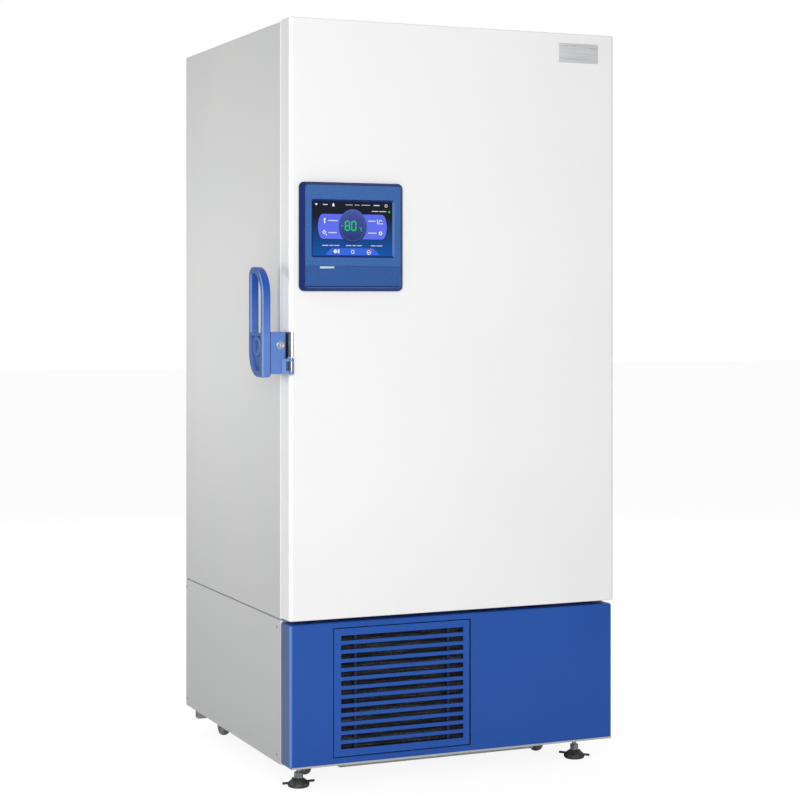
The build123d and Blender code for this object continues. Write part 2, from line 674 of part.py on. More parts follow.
def make_inner_door(low, high):
    """A foamed inner door with a pressed field, a finger pocket and a bore for a pin at each end."""
    half = THROAT_HALF - INNER_DOOR_GAP
    mid_z = (low + high) / 2
    door = block(-half, half, INNER_FRONT_Y, INNER_BACK_Y, low, high)
    door = fillet(edges_at(door, Axis.Z, Axis.Y, INNER_FRONT_Y), INNER_DOOR_RADIUS)
    margin = INNER_FIELD_MARGIN
    field = RectangleRounded(2 * (half - margin), high - low - 2 * margin, INNER_FIELD_RADIUS)
    door -= extrude(front_plane(0, INNER_FRONT_Y, mid_z) * field, amount=-INNER_FIELD_DEPTH)
    pull = SlotOverall(INNER_PULL_HEIGHT, INNER_PULL_WIDTH, rotation=90)
    door -= extrude(front_plane(-half + margin / 2, INNER_FRONT_Y, mid_z) * pull, amount=-INNER_PULL_DEPTH)
    for z, sign in ((low, 1), (high, -1)):
        door -= rod(INNER_PIN_RADIUS + FIT, (INNER_HINGE_X, INNER_HINGE_Y, z - sign),
                    (INNER_HINGE_X, INNER_HINGE_Y, z + sign * (INNER_PIN_LENGTH + INNER_BORE_SPARE)))
    return door


def inner_door_spans():
    """Heights of the lower and the upper inner door."""
    half_gap = INNER_DOOR_GAP / 2
    return ((THROAT_BOTTOM + INNER_DOOR_GAP, CAVITY_MID - half_gap),
            (CAVITY_MID + half_gap, THROAT_TOP - INNER_DOOR_GAP))


# The outer door

def door_block(inset, back_y):
    """The door's outer form: round upright edges and a softened top and bottom."""
    half = HALF_WIDTH - inset
    front = DOOR_FRONT_Y + inset
    low, high = DOOR_BOTTOM + inset, DOOR_TOP - inset
    body = block(-half, half, front, back_y, low, high)
    body = fillet(edges_at(body, Axis.Z, Axis.Y, front), DOOR_EDGE_RADIUS - inset)
    ends = edges_on(body, Axis.Z, low) + edges_on(body, Axis.Z, high)
    ends = [edge for edge in ends if edge.center().Y < back_y - PICK]
    return fillet(ends, DOOR_LIP_RADIUS - inset)


def housing_pocket(grow):
    """The space in the door for the display's electronics."""
    front = DOOR_FRONT_Y + DOOR_SKIN
    return screen_window(HOUSING_WALL + grow, front, front + HOUSING_DEPTH + grow)


def screen_window(grow, y0, y1):
    """A block as wide and high as the display, grown on every side."""
    half_width = SCREEN_WIDTH / 2 + grow
    half_height = SCREEN_HEIGHT / 2 + grow
    return block(PANEL_X - half_width, PANEL_X + half_width, y0, y1,
                 SCREEN_Z - half_height, SCREEN_Z + half_height)


def make_door_skin():
    """A folded steel pan, open at the back, with a window for the display."""
    skin_back = DOOR_BACK_Y - DOOR_LINER
    pan = door_block(0.0, skin_back) - door_block(DOOR_SKIN, skin_back + DOOR_SKIN)
    return pan - screen_window(SCREEN_BORDER, DOOR_FRONT_Y - 1, DOOR_FRONT_Y + DOOR_SKIN + 1)


def door_field(inset, start_y):
    """The raised middle of the door's back, which fills the cabinet's throat."""
    half = THROAT_HALF - DYKE_INSET - inset
    low, high = THROAT_BOTTOM + DYKE_INSET + inset, THROAT_TOP - DYKE_INSET - inset
    crest_y = DOOR_BACK_Y + DYKE_HEIGHT - inset
    field = block(-half, half, start_y, crest_y, low, high)
    field = fillet(field.edges().filter_by(Axis.Y), DYKE_CORNER_RADIUS - inset)
    return fillet(edges_on(field, Axis.Y, crest_y), DYKE_RADIUS - inset)


def make_door_core():
    """Foam that fills the door, with a pocket for the display's electronics."""
    liner_y = DOOR_BACK_Y - DOOR_LINER
    return door_block(DOOR_SKIN, liner_y) + door_field(DOOR_LINER, liner_y) - housing_pocket(RUNNING_GAP)


def make_door_liner():
    """The door's inner panel: a flat rim and a raised field."""
    liner_y = DOOR_BACK_Y - DOOR_LINER
    rim = block(-HALF_WIDTH, HALF_WIDTH, liner_y, DOOR_BACK_Y, DOOR_BOTTOM, DOOR_TOP)
    rim = fillet(rim.edges().filter_by(Axis.Y), DOOR_LIP_RADIUS)
    return rim + door_field(0.0, liner_y) - door_field(DOOR_LINER, liner_y - 1.0)


def make_door_gasket():
    """A soft frame, drawn at its closed thickness, that meets the cabinet's front."""
    half = HALF_WIDTH - GASKET_INSET
    low, high = DOOR_BOTTOM + GASKET_INSET, CABINET_TOP - GASKET_INSET
    frame = block(-half, half, DOOR_BACK_Y, -RUNNING_GAP, low, high)
    inner = block(-half + GASKET_WIDTH, half - GASKET_WIDTH, DOOR_BACK_Y - 1, 1,
                  low + GASKET_WIDTH, high - GASKET_WIDTH)
    return fillet((frame - inner).edges().filter_by(Axis.Y), DOOR_LIP_RADIUS)


# Hinges

def hinge_heights():
    """Middle heights of the outer door's hinges."""
    low = DOOR_BOTTOM + HINGE_END_MARGIN
    high = DOOR_TOP - HINGE_END_MARGIN
    return [low + (high - low) * index / (HINGE_COUNT - 1) for index in range(HINGE_COUNT)]


def hinge_barrel(z0, z1, sign, bore):
    """One knuckle and the web that joins it to its leaf, on the side that sign gives."""
    barrel = rod(HINGE_BARREL_RADIUS, (HINGE_X, 0, z0), (HINGE_X, 0, z1))
    y0, y1 = sorted((sign * HINGE_PART_GAP, sign * HINGE_WEB))
    barrel += block(HALF_WIDTH, HINGE_X, y0, y1, z0, z1)
    return barrel - rod(bore, (HINGE_X, 0, z0 - 1), (HINGE_X, 0, z1 + 1))


def hinge_leaf(z, sign):
    """A flat leaf with four countersunk screw seats."""
    y0, y1 = sorted((sign * HINGE_PART_GAP, sign * HINGE_LEAF_WIDTH))
    leaf = block(HALF_WIDTH, HALF_WIDTH + HINGE_LEAF, y0, y1, z - HINGE_HEIGHT / 2, z + HINGE_HEIGHT / 2)
    leaf = fillet(edges_at(leaf, Axis.X, Axis.Y, sign * HINGE_LEAF_WIDTH), HINGE_LEAF_RADIUS)
    seat_x = HALF_WIDTH + HINGE_LEAF / 2
    for seat_z in (z - HINGE_SEAT_RISE, z + HINGE_SEAT_RISE):
        for seat_y in (sign * HINGE_SEAT_NEAR, sign * HINGE_SEAT_FAR):
            leaf -= rod(HINGE_SEAT_RADIUS, (seat_x, seat_y, seat_z), (seat_x + HINGE_LEAF, seat_y, seat_z))
    return leaf


def make_cabinet_hinges():
    """Fixed hinge leaves with their pins, and the pin plates of the inner doors."""
    pieces = []
    third = HINGE_HEIGHT / 3
    for z in hinge_heights():
        low, high = z - HINGE_HEIGHT / 2, z + HINGE_HEIGHT / 2
        leaf = hinge_leaf(z, 1)
        leaf += hinge_barrel(low, low + third - HINGE_PART_GAP, 1, HINGE_PIN_RADIUS / 2)
        leaf += hinge_barrel(high - third + HINGE_PART_GAP, high, 1, HINGE_PIN_RADIUS / 2)
        leaf += rod(HINGE_PIN_RADIUS, (HINGE_X, 0, low), (HINGE_X, 0, high))
        pieces.append(leaf)
    return group(*pieces, *inner_pin_plates())


def inner_pin_plates():
    """The plates whose pins carry the inner doors: one low, one between the doors and one high."""
    plates = []
    mid = CAVITY_MID - INNER_PLATE / 2
    spots = ((THROAT_BOTTOM, (1,)), (mid, (-1, 1)), (THROAT_TOP - INNER_PLATE, (-1,)))
    for z, ends in spots:
        plate = block(INNER_HINGE_X - INNER_PIN_INSET, THROAT_HALF, INNER_FRONT_Y,
                      INNER_FRONT_Y + 3 * INNER_PIN_INSET, z, z + INNER_PLATE)
        root = z + INNER_PLATE / 2
        for sign in ends:
            plate += rod(INNER_PIN_RADIUS, (INNER_HINGE_X, INNER_HINGE_Y, root),
                         (INNER_HINGE_X, INNER_HINGE_Y, root + sign * INNER_PIN_LENGTH))
        plates.append(plate)
    return plates


def make_door_hinge_leaves():
    """Moving hinge leaves, each with one middle knuckle that turns on the fixed pin."""
    leaves = []
    for z in hinge_heights():
        knuckle = hinge_barrel(z - HINGE_HEIGHT / 6, z + HINGE_HEIGHT / 6, -1, HINGE_PIN_RADIUS + FIT)
        leaves.append(hinge_leaf(z, -1) + knuckle)
    return group(*leaves)


# Control panel

def make_control_bezel():
    """A bevelled moulding with a sunk screen and, below it, a pocket behind a small flap."""
    base_y = DOOR_FRONT_Y - PANEL_BASE
    outline = RectangleRounded(PANEL_WIDTH, PANEL_HEIGHT, PANEL_RADIUS)
    raised = RectangleRounded(PANEL_WIDTH - 2 * PANEL_BEVEL_X, PANEL_HEIGHT - 2 * PANEL_BEVEL_Z,
                              PANEL_FACE_RADIUS)
    body = extrude(front_plane(PANEL_X, DOOR_FRONT_Y, PANEL_Z) * outline, amount=PANEL_BASE)
    body += loft([front_plane(PANEL_X, base_y, PANEL_Z) * outline,
                  front_plane(PANEL_X, PANEL_FRONT_Y, PANEL_Z) * raised])
    body = fillet(edges_on(body, Axis.Y, PANEL_FRONT_Y), PANEL_RIM_RADIUS)
    return body - screen_recess() - flap_pocket() + service_sockets()


def screen_recess():
    """The stepped opening for the glass, with sloped sides, and the window behind it."""
    sight_w = SCREEN_WIDTH + 2 * SCREEN_BORDER
    sight_h = SCREEN_HEIGHT + 2 * SCREEN_BORDER
    mouth = RectangleRounded(sight_w + 2 * SCREEN_BEVEL, sight_h + 2 * SCREEN_BEVEL, SCREEN_BEVEL)
    seat = RectangleRounded(sight_w, sight_h, SCREEN_BORDER)
    recess = loft([front_plane(PANEL_X, PANEL_FRONT_Y, SCREEN_Z) * mouth,
                   front_plane(PANEL_X, PANEL_FRONT_Y + SCREEN_DEPTH, SCREEN_Z) * seat])
    depth = GLASS_BACK_Y - PANEL_FRONT_Y
    recess += extrude(front_plane(PANEL_X, GLASS_BACK_Y, SCREEN_Z) * seat, amount=depth)
    return recess + screen_window(-SCREEN_BORDER, PANEL_FRONT_Y, DOOR_FRONT_Y + 1)


def flap_pocket():
    """The pocket behind the flap, with a blind bore for each of its pegs."""
    half = FLAP_WIDTH / 2 + FLAP_GAP
    pocket = block(PANEL_X - half, PANEL_X + half, PANEL_FRONT_Y - 1, PANEL_FRONT_Y + FLAP_POCKET_DEPTH,
                   FLAP_BOTTOM - FLAP_GAP, FLAP_TOP + FLAP_GAP)
    reach = half + FLAP_PEG_LENGTH
    return pocket + rod(FLAP_PEG_RADIUS + FIT, (PANEL_X - reach, FLAP_AXIS_Y, FLAP_AXIS_Z),
                        (PANEL_X + reach, FLAP_AXIS_Y, FLAP_AXIS_Z))


def service_sockets():
    """Rims of two square sockets and a round one on the pocket's floor."""
    floor_y = PANEL_FRONT_Y + FLAP_POCKET_DEPTH
    z = FLAP_BOTTOM + FLAP_HEIGHT / 2 + FLAP_BEAD_RADIUS
    square = Rectangle(SOCKET_WIDTH, SOCKET_HEIGHT)
    square -= Rectangle(SOCKET_WIDTH - 2 * SOCKET_WALL, SOCKET_HEIGHT - 2 * SOCKET_WALL)
    round_rim = Circle(JACK_RADIUS) - Circle(JACK_BORE_RADIUS)
    rims = extrude(front_plane(PANEL_X + JACK_OFFSET, floor_y, z) * round_rim, amount=SOCKET_PROUD)
    for x in (PANEL_X - SOCKET_SPACING, PANEL_X):
        rims += extrude(front_plane(x, floor_y, z) * square, amount=SOCKET_PROUD)
    return rims


def make_touch_screen():
    """The display's glass, seated in the bezel."""
    glass = RectangleRounded(SCREEN_WIDTH + 2 * (SCREEN_BORDER - GLASS_GAP),
                             SCREEN_HEIGHT + 2 * (SCREEN_BORDER - GLASS_GAP), SCREEN_BORDER - GLASS_GAP)
    return extrude(front_plane(PANEL_X, GLASS_BACK_Y, SCREEN_Z) * glass, amount=GLASS_THICKNESS)


def make_display_module():
    """The display and its electronics box, through the skin's window into the door's foam."""
    lcd = screen_window(-SCREEN_BORDER - 2 * GLASS_GAP, GLASS_BACK_Y, DOOR_FRONT_Y + DOOR_SKIN + 2)
    return lcd + housing_pocket(0.0)


def make_service_flap():
    """A small drop-down flap on a rounded bead with a peg at each end."""
    half = FLAP_WIDTH / 2
    plate = block(PANEL_X - half, PANEL_X + half, PANEL_FRONT_Y, PANEL_FRONT_Y + FLAP_THICKNESS,
                  FLAP_AXIS_Z, FLAP_TOP)
    plate = fillet(edges_at(plate, Axis.Y, Axis.Z, FLAP_TOP), FLAP_CORNER_RADIUS)
    plate += rod(FLAP_BEAD_RADIUS, (PANEL_X - half, FLAP_AXIS_Y, FLAP_AXIS_Z),
                 (PANEL_X + half, FLAP_AXIS_Y, FLAP_AXIS_Z))
    reach = half + FLAP_PEG_LENGTH
    return plate + rod(FLAP_PEG_RADIUS, (PANEL_X - reach, FLAP_AXIS_Y, FLAP_AXIS_Z),
                       (PANEL_X + reach, FLAP_AXIS_Y, FLAP_AXIS_Z))


# Lever handle, lock and latch

def corner_wrap(inner, outer, z0, z1):
    """A strip bent round the door's front left edge."""
    centre = (-HALF_WIDTH + DOOR_EDGE_RADIUS, DOOR_FRONT_Y + DOOR_EDGE_RADIUS)
    ring = Circle(outer) - Circle(inner)
    reach = outer + 1
    quarter = Pos(-reach / 2, -reach / 2) * Rectangle(reach, reach)
    return extrude(Pos(centre[0], centre[1], z0) * (ring & quarter), amount=z1 - z0)


def make_handle_bracket():
    """The steel plate on the door's side, bent round its edge, with the knuckle that holds the pin."""
    skin_x = -HALF_WIDTH
    z0, z1 = HANDLE_BLOCK_Z, HANDLE_BLOCK_Z + HANDLE_BLOCK_HEIGHT
    start_y = DOOR_FRONT_Y + DOOR_EDGE_RADIUS
    plate = block(skin_x - BRACKET_SHEET, skin_x, start_y, start_y + BRACKET_DEPTH, z0, z1)
    ear_top = HANDLE_EAR_Z + HANDLE_EAR_HEIGHT
    inner, outer = DOOR_EDGE_RADIUS, DOOR_EDGE_RADIUS + BRACKET_SHEET
    plate += corner_wrap(inner, outer, ear_top + HANDLE_PIN_HEAD + BRACKET_EAR_GAP, z1)
    knuckle_z0 = HANDLE_EAR_Z + HANDLE_LUG_HEIGHT + RUNNING_GAP
    knuckle_z1 = ear_top - HANDLE_LUG_HEIGHT - RUNNING_GAP
    plate += corner_wrap(inner, outer, knuckle_z0, knuckle_z1)
    plate += rod(HANDLE_KNUCKLE_RADIUS, (PIVOT_X, PIVOT_Y, knuckle_z0), (PIVOT_X, PIVOT_Y, knuckle_z1))
    door_corner = rod(inner, (skin_x + inner, start_y, z0 - 1), (skin_x + inner, start_y, z1 + 1))
    bore = rod(HANDLE_PIN_RADIUS, (PIVOT_X, PIVOT_Y, z0), (PIVOT_X, PIVOT_Y, z1))
    return plate - door_corner - bore


def make_handle_pin():
    """The pivot pin, with a head above and below the lever's lugs."""
    low = HANDLE_EAR_Z - RUNNING_GAP
    high = HANDLE_EAR_Z + HANDLE_EAR_HEIGHT + RUNNING_GAP
    shank = rod(HANDLE_PIN_RADIUS, (PIVOT_X, PIVOT_Y, low), (PIVOT_X, PIVOT_Y, high))
    for z, sign in ((low, -1), (high, 1)):
        tip = (PIVOT_X, PIVOT_Y, z + sign * HANDLE_PIN_HEAD)
        head = rod(HANDLE_HEAD_RADIUS, (PIVOT_X, PIVOT_Y, z), tip)
        shank += fillet(head.edges().sort_by(Axis.Z)[0 if sign < 0 else -1], 1.0)
    return shank


def loop_outline(inset_front, inset_rear, inset_top, low, radii):
    """A rounded four-sided outline in the handle's plane: local x runs to the front, y up."""
    front = -LOOP_FRONT_Y - inset_front
    rear = -LOOP_FRONT_Y - LOOP_DEPTH + inset_rear
    high = LOOP_Z + LOOP_HEIGHT - inset_top
    corners = [(front, low), (front, high), (rear, high), (rear, low)]
    return make_face(FilletPolyline(*corners, radius=radii, close=True))


def make_handle_lever():
    """A flat D-shaped grip, webbed across its lower part, on a mounting block with a hinge ear.

    The grip stands off the cabinet's side. Its block carries the key lock and ends in two lugs
    that turn on the pin at the door's front edge.
    """
    mount = block(BLOCK_LEFT_X, BLOCK_RIGHT_X, BLOCK_FRONT_Y, BLOCK_BACK_Y,
                  HANDLE_BLOCK_Z, HANDLE_BLOCK_Z + HANDLE_BLOCK_HEIGHT)
    mount = fillet(edges_on(mount, Axis.X, BLOCK_RIGHT_X), LOOP_EDGE_RADIUS)
    lock_bore = rod(LOCK_RADIUS + FIT, (LOCK_X, BLOCK_FRONT_Y - 1, LOCK_Z),
                    (LOCK_X, BLOCK_FRONT_Y + LOCK_DEPTH, LOCK_Z))
    return handle_grip() + mount + hinge_ear() - lock_bore


def handle_grip():
    """The rounded loop, with a recess in its web and a hollow boss there."""
    plane = side_plane(BLOCK_LEFT_X, 0, 0)
    outline = loop_outline(0, 0, 0, LOOP_Z, [LOOP_LOW_FRONT_RADIUS, LOOP_TOP_FRONT_RADIUS,
                                             LOOP_TOP_REAR_RADIUS, LOOP_LOW_REAR_RADIUS])
    hole = loop_outline(LOOP_FRONT_BAR, LOOP_REAR_BAR, LOOP_TOP_BAR, LOOP_Z + WEB_HEIGHT,
                        [LOOP_LOW_FRONT_RADIUS, LOOP_TOP_FRONT_RADIUS - LOOP_FRONT_BAR,
                         LOOP_TOP_REAR_RADIUS - LOOP_REAR_BAR, LOOP_LOW_FRONT_RADIUS])
    grip = extrude(plane * outline - plane * hole, amount=LOOP_THICKNESS)
    grip = fillet(grip.edges().filter_by(Plane.YZ), LOOP_EDGE_RADIUS)
    below_top = LOOP_HEIGHT - WEB_HEIGHT + WEB_RIM
    recess = loop_outline(LOOP_FRONT_BAR, LOOP_REAR_BAR, below_top, LOOP_Z + LOOP_TOP_BAR,
                          [LOOP_LOW_FRONT_RADIUS, LOOP_EDGE_RADIUS, LOOP_EDGE_RADIUS,
                           LOOP_LOW_REAR_RADIUS - LOOP_REAR_BAR])
    grip -= extrude(side_plane(LOOP_LEFT_X, 0, 0) * recess, amount=-WEB_RECESS)
    y, z = LOOP_FRONT_Y + LOOP_DEPTH / 2, LOOP_Z + BOSS_HEIGHT
    boss = rod(BOSS_RADIUS, (LOOP_LEFT_X + WEB_RECESS + 1, y, z), (LOOP_LEFT_X + BOSS_SINK, y, z))
    grip += fillet(boss.edges().sort_by(Axis.X)[0], BOSS_EDGE_RADIUS)
    return grip - rod(BOSS_HOLE_RADIUS, (LOOP_LEFT_X - 1, y, z), (LOOP_LEFT_X + BOSS_HOLE_DEPTH, y, z))


def hinge_ear():
    """The arm from the block to the pin, forked round the fixed knuckle."""
    ear_top = HANDLE_EAR_Z + HANDLE_EAR_HEIGHT
    pivot = Pos(PIVOT_X, PIVOT_Y)
    run = Vector(BLOCK_RIGHT_X - HANDLE_ARM_ROOT_X - PIVOT_X, BLOCK_FRONT_Y + HANDLE_ARM_ROOT_Y - PIVOT_Y)
    turn = math.degrees(math.atan2(run.Y, run.X))
    bar = Pos(run.length / 2, 0) * Rectangle(run.length, 2 * HANDLE_EAR_HALF_WIDTH)
    arm = pivot * Rot(0, 0, turn) * bar
    arm += pivot * Circle(HANDLE_KNUCKLE_RADIUS)
    ear = extrude(Pos(0, 0, HANDLE_EAR_Z) * arm, amount=HANDLE_EAR_HEIGHT)
    ear -= rod(HANDLE_FORK_REACH, (PIVOT_X, PIVOT_Y, HANDLE_EAR_Z + HANDLE_LUG_HEIGHT),
               (PIVOT_X, PIVOT_Y, ear_top - HANDLE_LUG_HEIGHT))
    return ear - rod(HANDLE_PIN_RADIUS + FIT, (PIVOT_X, PIVOT_Y, HANDLE_EAR_Z - 1),
                     (PIVOT_X, PIVOT_Y, ear_top + 1))


def make_lock_cylinder():
    """A key lock with a raised collar face and a key slot."""
    face_y = BLOCK_FRONT_Y - LOCK_PROUD
    barrel = rod(LOCK_RADIUS, (LOCK_X, face_y, LOCK_Z),
                 (LOCK_X, BLOCK_FRONT_Y + LOCK_DEPTH - RUNNING_GAP, LOCK_Z))
    barrel = fillet(barrel.edges().sort_by(Axis.Y)[0], 1.0)
    dish = rod(LOCK_DISH_RADIUS, (LOCK_X, face_y, LOCK_Z), (LOCK_X, face_y + 1.0, LOCK_Z))
    slot = block(LOCK_X - KEY_SLOT_WIDTH / 2, LOCK_X + KEY_SLOT_WIDTH / 2, face_y, face_y + KEY_SLOT_DEPTH,
                 LOCK_Z - KEY_SLOT_LENGTH / 2, LOCK_Z + KEY_SLOT_LENGTH / 2)
    return barrel - dish - slot


def keeper_x():
    return -HALF_WIDTH - KEEPER_POST_X_OUT


def make_latch_hook():
    """The steel tongue behind the handle's block, which lies against the keeper's post."""
    inner_x = keeper_x() - KEEPER_POST_RADIUS - HOOK_GAP
    mid_z = KEEPER_Z + KEEPER_HEIGHT / 2
    z0, z1 = mid_z - HOOK_HEIGHT / 2, mid_z + HOOK_HEIGHT / 2
    tongue = block(inner_x - HOOK_THICKNESS, inner_x, BLOCK_BACK_Y, HOOK_END_Y, z0, z1)
    tongue = fillet(edges_at(tongue, Axis.X, Axis.Y, HOOK_END_Y), HOOK_RADIUS)
    return tongue + block(inner_x - HOOK_THICKNESS, inner_x + HOOK_THICKNESS, BLOCK_BACK_Y,
                          BLOCK_BACK_Y + HOOK_FOOT, z0, z1)


def make_latch_keeper():
    """The strike on the cabinet's left side: a plate, two lugs and a post."""
    side_x = -HALF_WIDTH
    plate = block(side_x - KEEPER_PLATE, side_x, SHELL_EDGE_RADIUS, SHELL_EDGE_RADIUS + KEEPER_PLATE_DEPTH,
                  KEEPER_Z - KEEPER_PLATE_MARGIN, KEEPER_Z + KEEPER_HEIGHT + KEEPER_PLATE_MARGIN)
    plate = fillet(plate.edges().filter_by(Axis.X), KEEPER_PLATE_RADIUS)
    tip = keeper_x() - KEEPER_POST_RADIUS
    for z in (KEEPER_Z, KEEPER_Z + KEEPER_HEIGHT - KEEPER_LUG):
        lug = block(tip, side_x - KEEPER_PLATE / 2, KEEPER_POST_Y - KEEPER_POST_RADIUS,
                    KEEPER_POST_Y + KEEPER_POST_RADIUS, z, z + KEEPER_LUG)
        plate += fillet(edges_at(lug, Axis.Z, Axis.X, tip), KEEPER_POST_RADIUS - PICK)
    return plate + rod(KEEPER_POST_RADIUS, (keeper_x(), KEEPER_POST_Y, KEEPER_Z + 1.0),
                       (keeper_x(), KEEPER_POST_Y, KEEPER_Z + KEEPER_HEIGHT - 1.0))


# Covers of the machine compartment

def make_compartment_deck():
    """The floor of the insulated cabinet, folded down at its sides."""
    deck = block(-INNER_HALF, INNER_HALF, SHEET, CABINET_DEPTH - SHEET, DECK_Z, DECK_TOP)
    for sign in (-1, 1):
        x0, x1 = sorted((sign * INNER_HALF, sign * (INNER_HALF - SHEET)))
        deck += block(x0, x1, SHEET, CABINET_DEPTH - SHEET, DECK_Z - DECK_FOLD, DECK_TOP)
    return deck


def make_lower_side(sign):
    """A lower side cover with a rounded front bend and turned-in flanges."""
    top = DECK_Z - SEAM_GAP / 2
    front = FRONT_PANEL_BACK_Y + RUNNING_GAP

    def solid(inset, far_x, far_y, z0, z1):
        body = block(far_x, HALF_WIDTH - inset, front + inset, far_y, z0, z1)
        bend = edges_at(body, Axis.Z, Axis.X, HALF_WIDTH - inset).group_by(Axis.Y)[0]
        return fillet(bend, SHELL_EDGE_RADIUS - inset)

    cover = solid(0.0, HALF_WIDTH - SIDE_FLANGE, CABINET_DEPTH - SHEET, BASE_Z, top)
    cover -= solid(SHEET, HALF_WIDTH - 2 * SIDE_FLANGE, CABINET_DEPTH, BASE_Z - 1, top + 1)
    return cover if sign > 0 else mirror(cover, Plane.YZ)


def make_rear_cover():
    """The rear cover of the compartment, with rows of cooling slots."""
    z0, z1 = BASE_Z, DECK_Z - SEAM_GAP / 2
    cover = block(-HALF_WIDTH, HALF_WIDTH, CABINET_DEPTH - SHEET, CABINET_DEPTH, z0, z1)
    plane = front_plane(LOUVRE_X, CABINET_DEPTH + 1, (z0 + z1) / 2)
    for place in GridLocations(0, LOUVRE_PITCH, 1, LOUVRE_ROWS):
        cover -= extrude(plane * place * SlotOverall(LOUVRE_LENGTH, LOUVRE_HEIGHT), amount=SHEET + 2)
    return cover - rod(GLAND_NECK_RADIUS, (GLAND_X, CABINET_DEPTH + 1, GLAND_Z),
                       (GLAND_X, CABINET_DEPTH - SHEET - 1, GLAND_Z))


def panel_block(inset, back_y):
    """The front panel's outer form."""
    left, right = -HALF_WIDTH + inset, FRONT_PANEL_RIGHT - inset
    front = DOOR_FRONT_Y + inset
    top = FRONT_PANEL_TOP - inset
    body = block(left, right, front, back_y, FRONT_PANEL_BOTTOM + inset, top)
    body = fillet(edges_at(body, Axis.Z, Axis.Y, front), FRONT_PANEL_RADIUS - inset)
    rim = [edge for edge in edges_on(body, Axis.Z, top) if edge.center().Y < back_y - PICK]
    return fillet(rim, FRONT_PANEL_TOP_RADIUS - inset)


def make_front_panel():
    """The coloured cover below the door: a folded pan with a window and pin lugs for the grille."""
    panel = panel_block(0.0, FRONT_PANEL_BACK_Y) - panel_block(FRONT_PANEL_SHEET, 2.0)
    panel -= block(GRILLE_LEFT - GRILLE_GAP, GRILLE_RIGHT + GRILLE_GAP, DOOR_FRONT_Y - 1,
                   DOOR_FRONT_Y + FRONT_PANEL_RADIUS, GRILLE_BOTTOM - GRILLE_GAP, GRILLE_TOP + GRILLE_GAP)
    half = GRILLE_LUG_HALF
    for z0 in (GRILLE_TOP + GRILLE_GAP, GRILLE_BOTTOM - GRILLE_GAP - GRILLE_PIN_LENGTH):
        lug = block(GRILLE_AXIS_X - half, GRILLE_AXIS_X + half, DOOR_FRONT_Y + FRONT_PANEL_SHEET / 2,
                    GRILLE_AXIS_Y + half, z0, z0 + GRILLE_PIN_LENGTH)
        panel += lug - rod(GRILLE_PIN_RADIUS + FIT, (GRILLE_AXIS_X, GRILLE_AXIS_Y, z0 - 1),
                           (GRILLE_AXIS_X, GRILLE_AXIS_Y, z0 + GRILLE_PIN_LENGTH + 1))
    return panel


def make_grille_door():
    """The hinged grille: a shallow moulded tray with a ladder of rounded slats and a peg at each end."""
    front, back = DOOR_FRONT_Y, DOOR_FRONT_Y + GRILLE_DEPTH
    centre_x, centre_z = (GRILLE_LEFT + GRILLE_RIGHT) / 2, (GRILLE_BOTTOM + GRILLE_TOP) / 2
    half_slot = GRILLE_WIDTH / 2 - SLOT_SIDE_MARGIN
    half_ladder = (SLOT_PITCH * (SLOT_COUNT - 1) + SLOT_HEIGHT) / 2
    tray = block(GRILLE_LEFT, GRILLE_RIGHT, front, back, GRILLE_BOTTOM, GRILLE_TOP)
    tray = fillet(edges_at(tray, Axis.Z, Axis.Y, front), GRILLE_EDGE_RADIUS)
    tray -= block(GRILLE_LEFT + GRILLE_RIM, GRILLE_RIGHT - GRILLE_RIM, front + GRILLE_SHEET, back + 1,
                  GRILLE_BOTTOM + GRILLE_RIM, GRILLE_TOP - GRILLE_RIM)
    tray -= block(centre_x - half_slot, centre_x + half_slot, front - 1, front + GRILLE_SHEET + 1,
                  centre_z - half_ladder, centre_z + half_ladder)
    slat_height = SLOT_PITCH - SLOT_HEIGHT
    for index in range(SLOT_COUNT - 1):
        z0 = centre_z - half_ladder + SLOT_HEIGHT + index * SLOT_PITCH
        slat = block(centre_x - half_slot - SLAT_LAP, centre_x + half_slot + SLAT_LAP,
                     front, front + SLAT_DEPTH, z0, z0 + slat_height)
        tray += chamfer(edges_at(slat, Axis.X, Axis.Y, front + SLAT_DEPTH), SLAT_CHAMFER)
    for x in (centre_x - half_slot + GRILLE_RIB_INSET, centre_x + half_slot - GRILLE_RIB_INSET):
        tray += block(x - GRILLE_RIB_WIDTH / 2, x + GRILLE_RIB_WIDTH / 2,
                      front + SLAT_DEPTH - GRILLE_RIB_LAP, back - 1.0,
                      GRILLE_BOTTOM + GRILLE_RIM / 2, GRILLE_TOP - GRILLE_RIM / 2)
    for z, sign in ((GRILLE_TOP, 1), (GRILLE_BOTTOM, -1)):
        inner = (GRILLE_AXIS_X, GRILLE_AXIS_Y, z - sign * (GRILLE_RIM + GRILLE_PIN_LENGTH))
        outer = (GRILLE_AXIS_X, GRILLE_AXIS_Y, z + sign * GRILLE_PIN_LENGTH)
        tray += rod(GRILLE_PIN_RADIUS, inner, outer)
    return tray


# Pieces behind the grille

def cooling_span():
    """Left, right, low and high limits of the filter, the condenser and the shroud."""
    return (GRILLE_LEFT + COIL_LEFT_GAP, GRILLE_RIGHT - COIL_RIGHT_GAP,
            FRONT_PANEL_BOTTOM + FRONT_PANEL_SHEET + COIL_LOW_GAP, GRILLE_TOP - COIL_TOP_GAP)


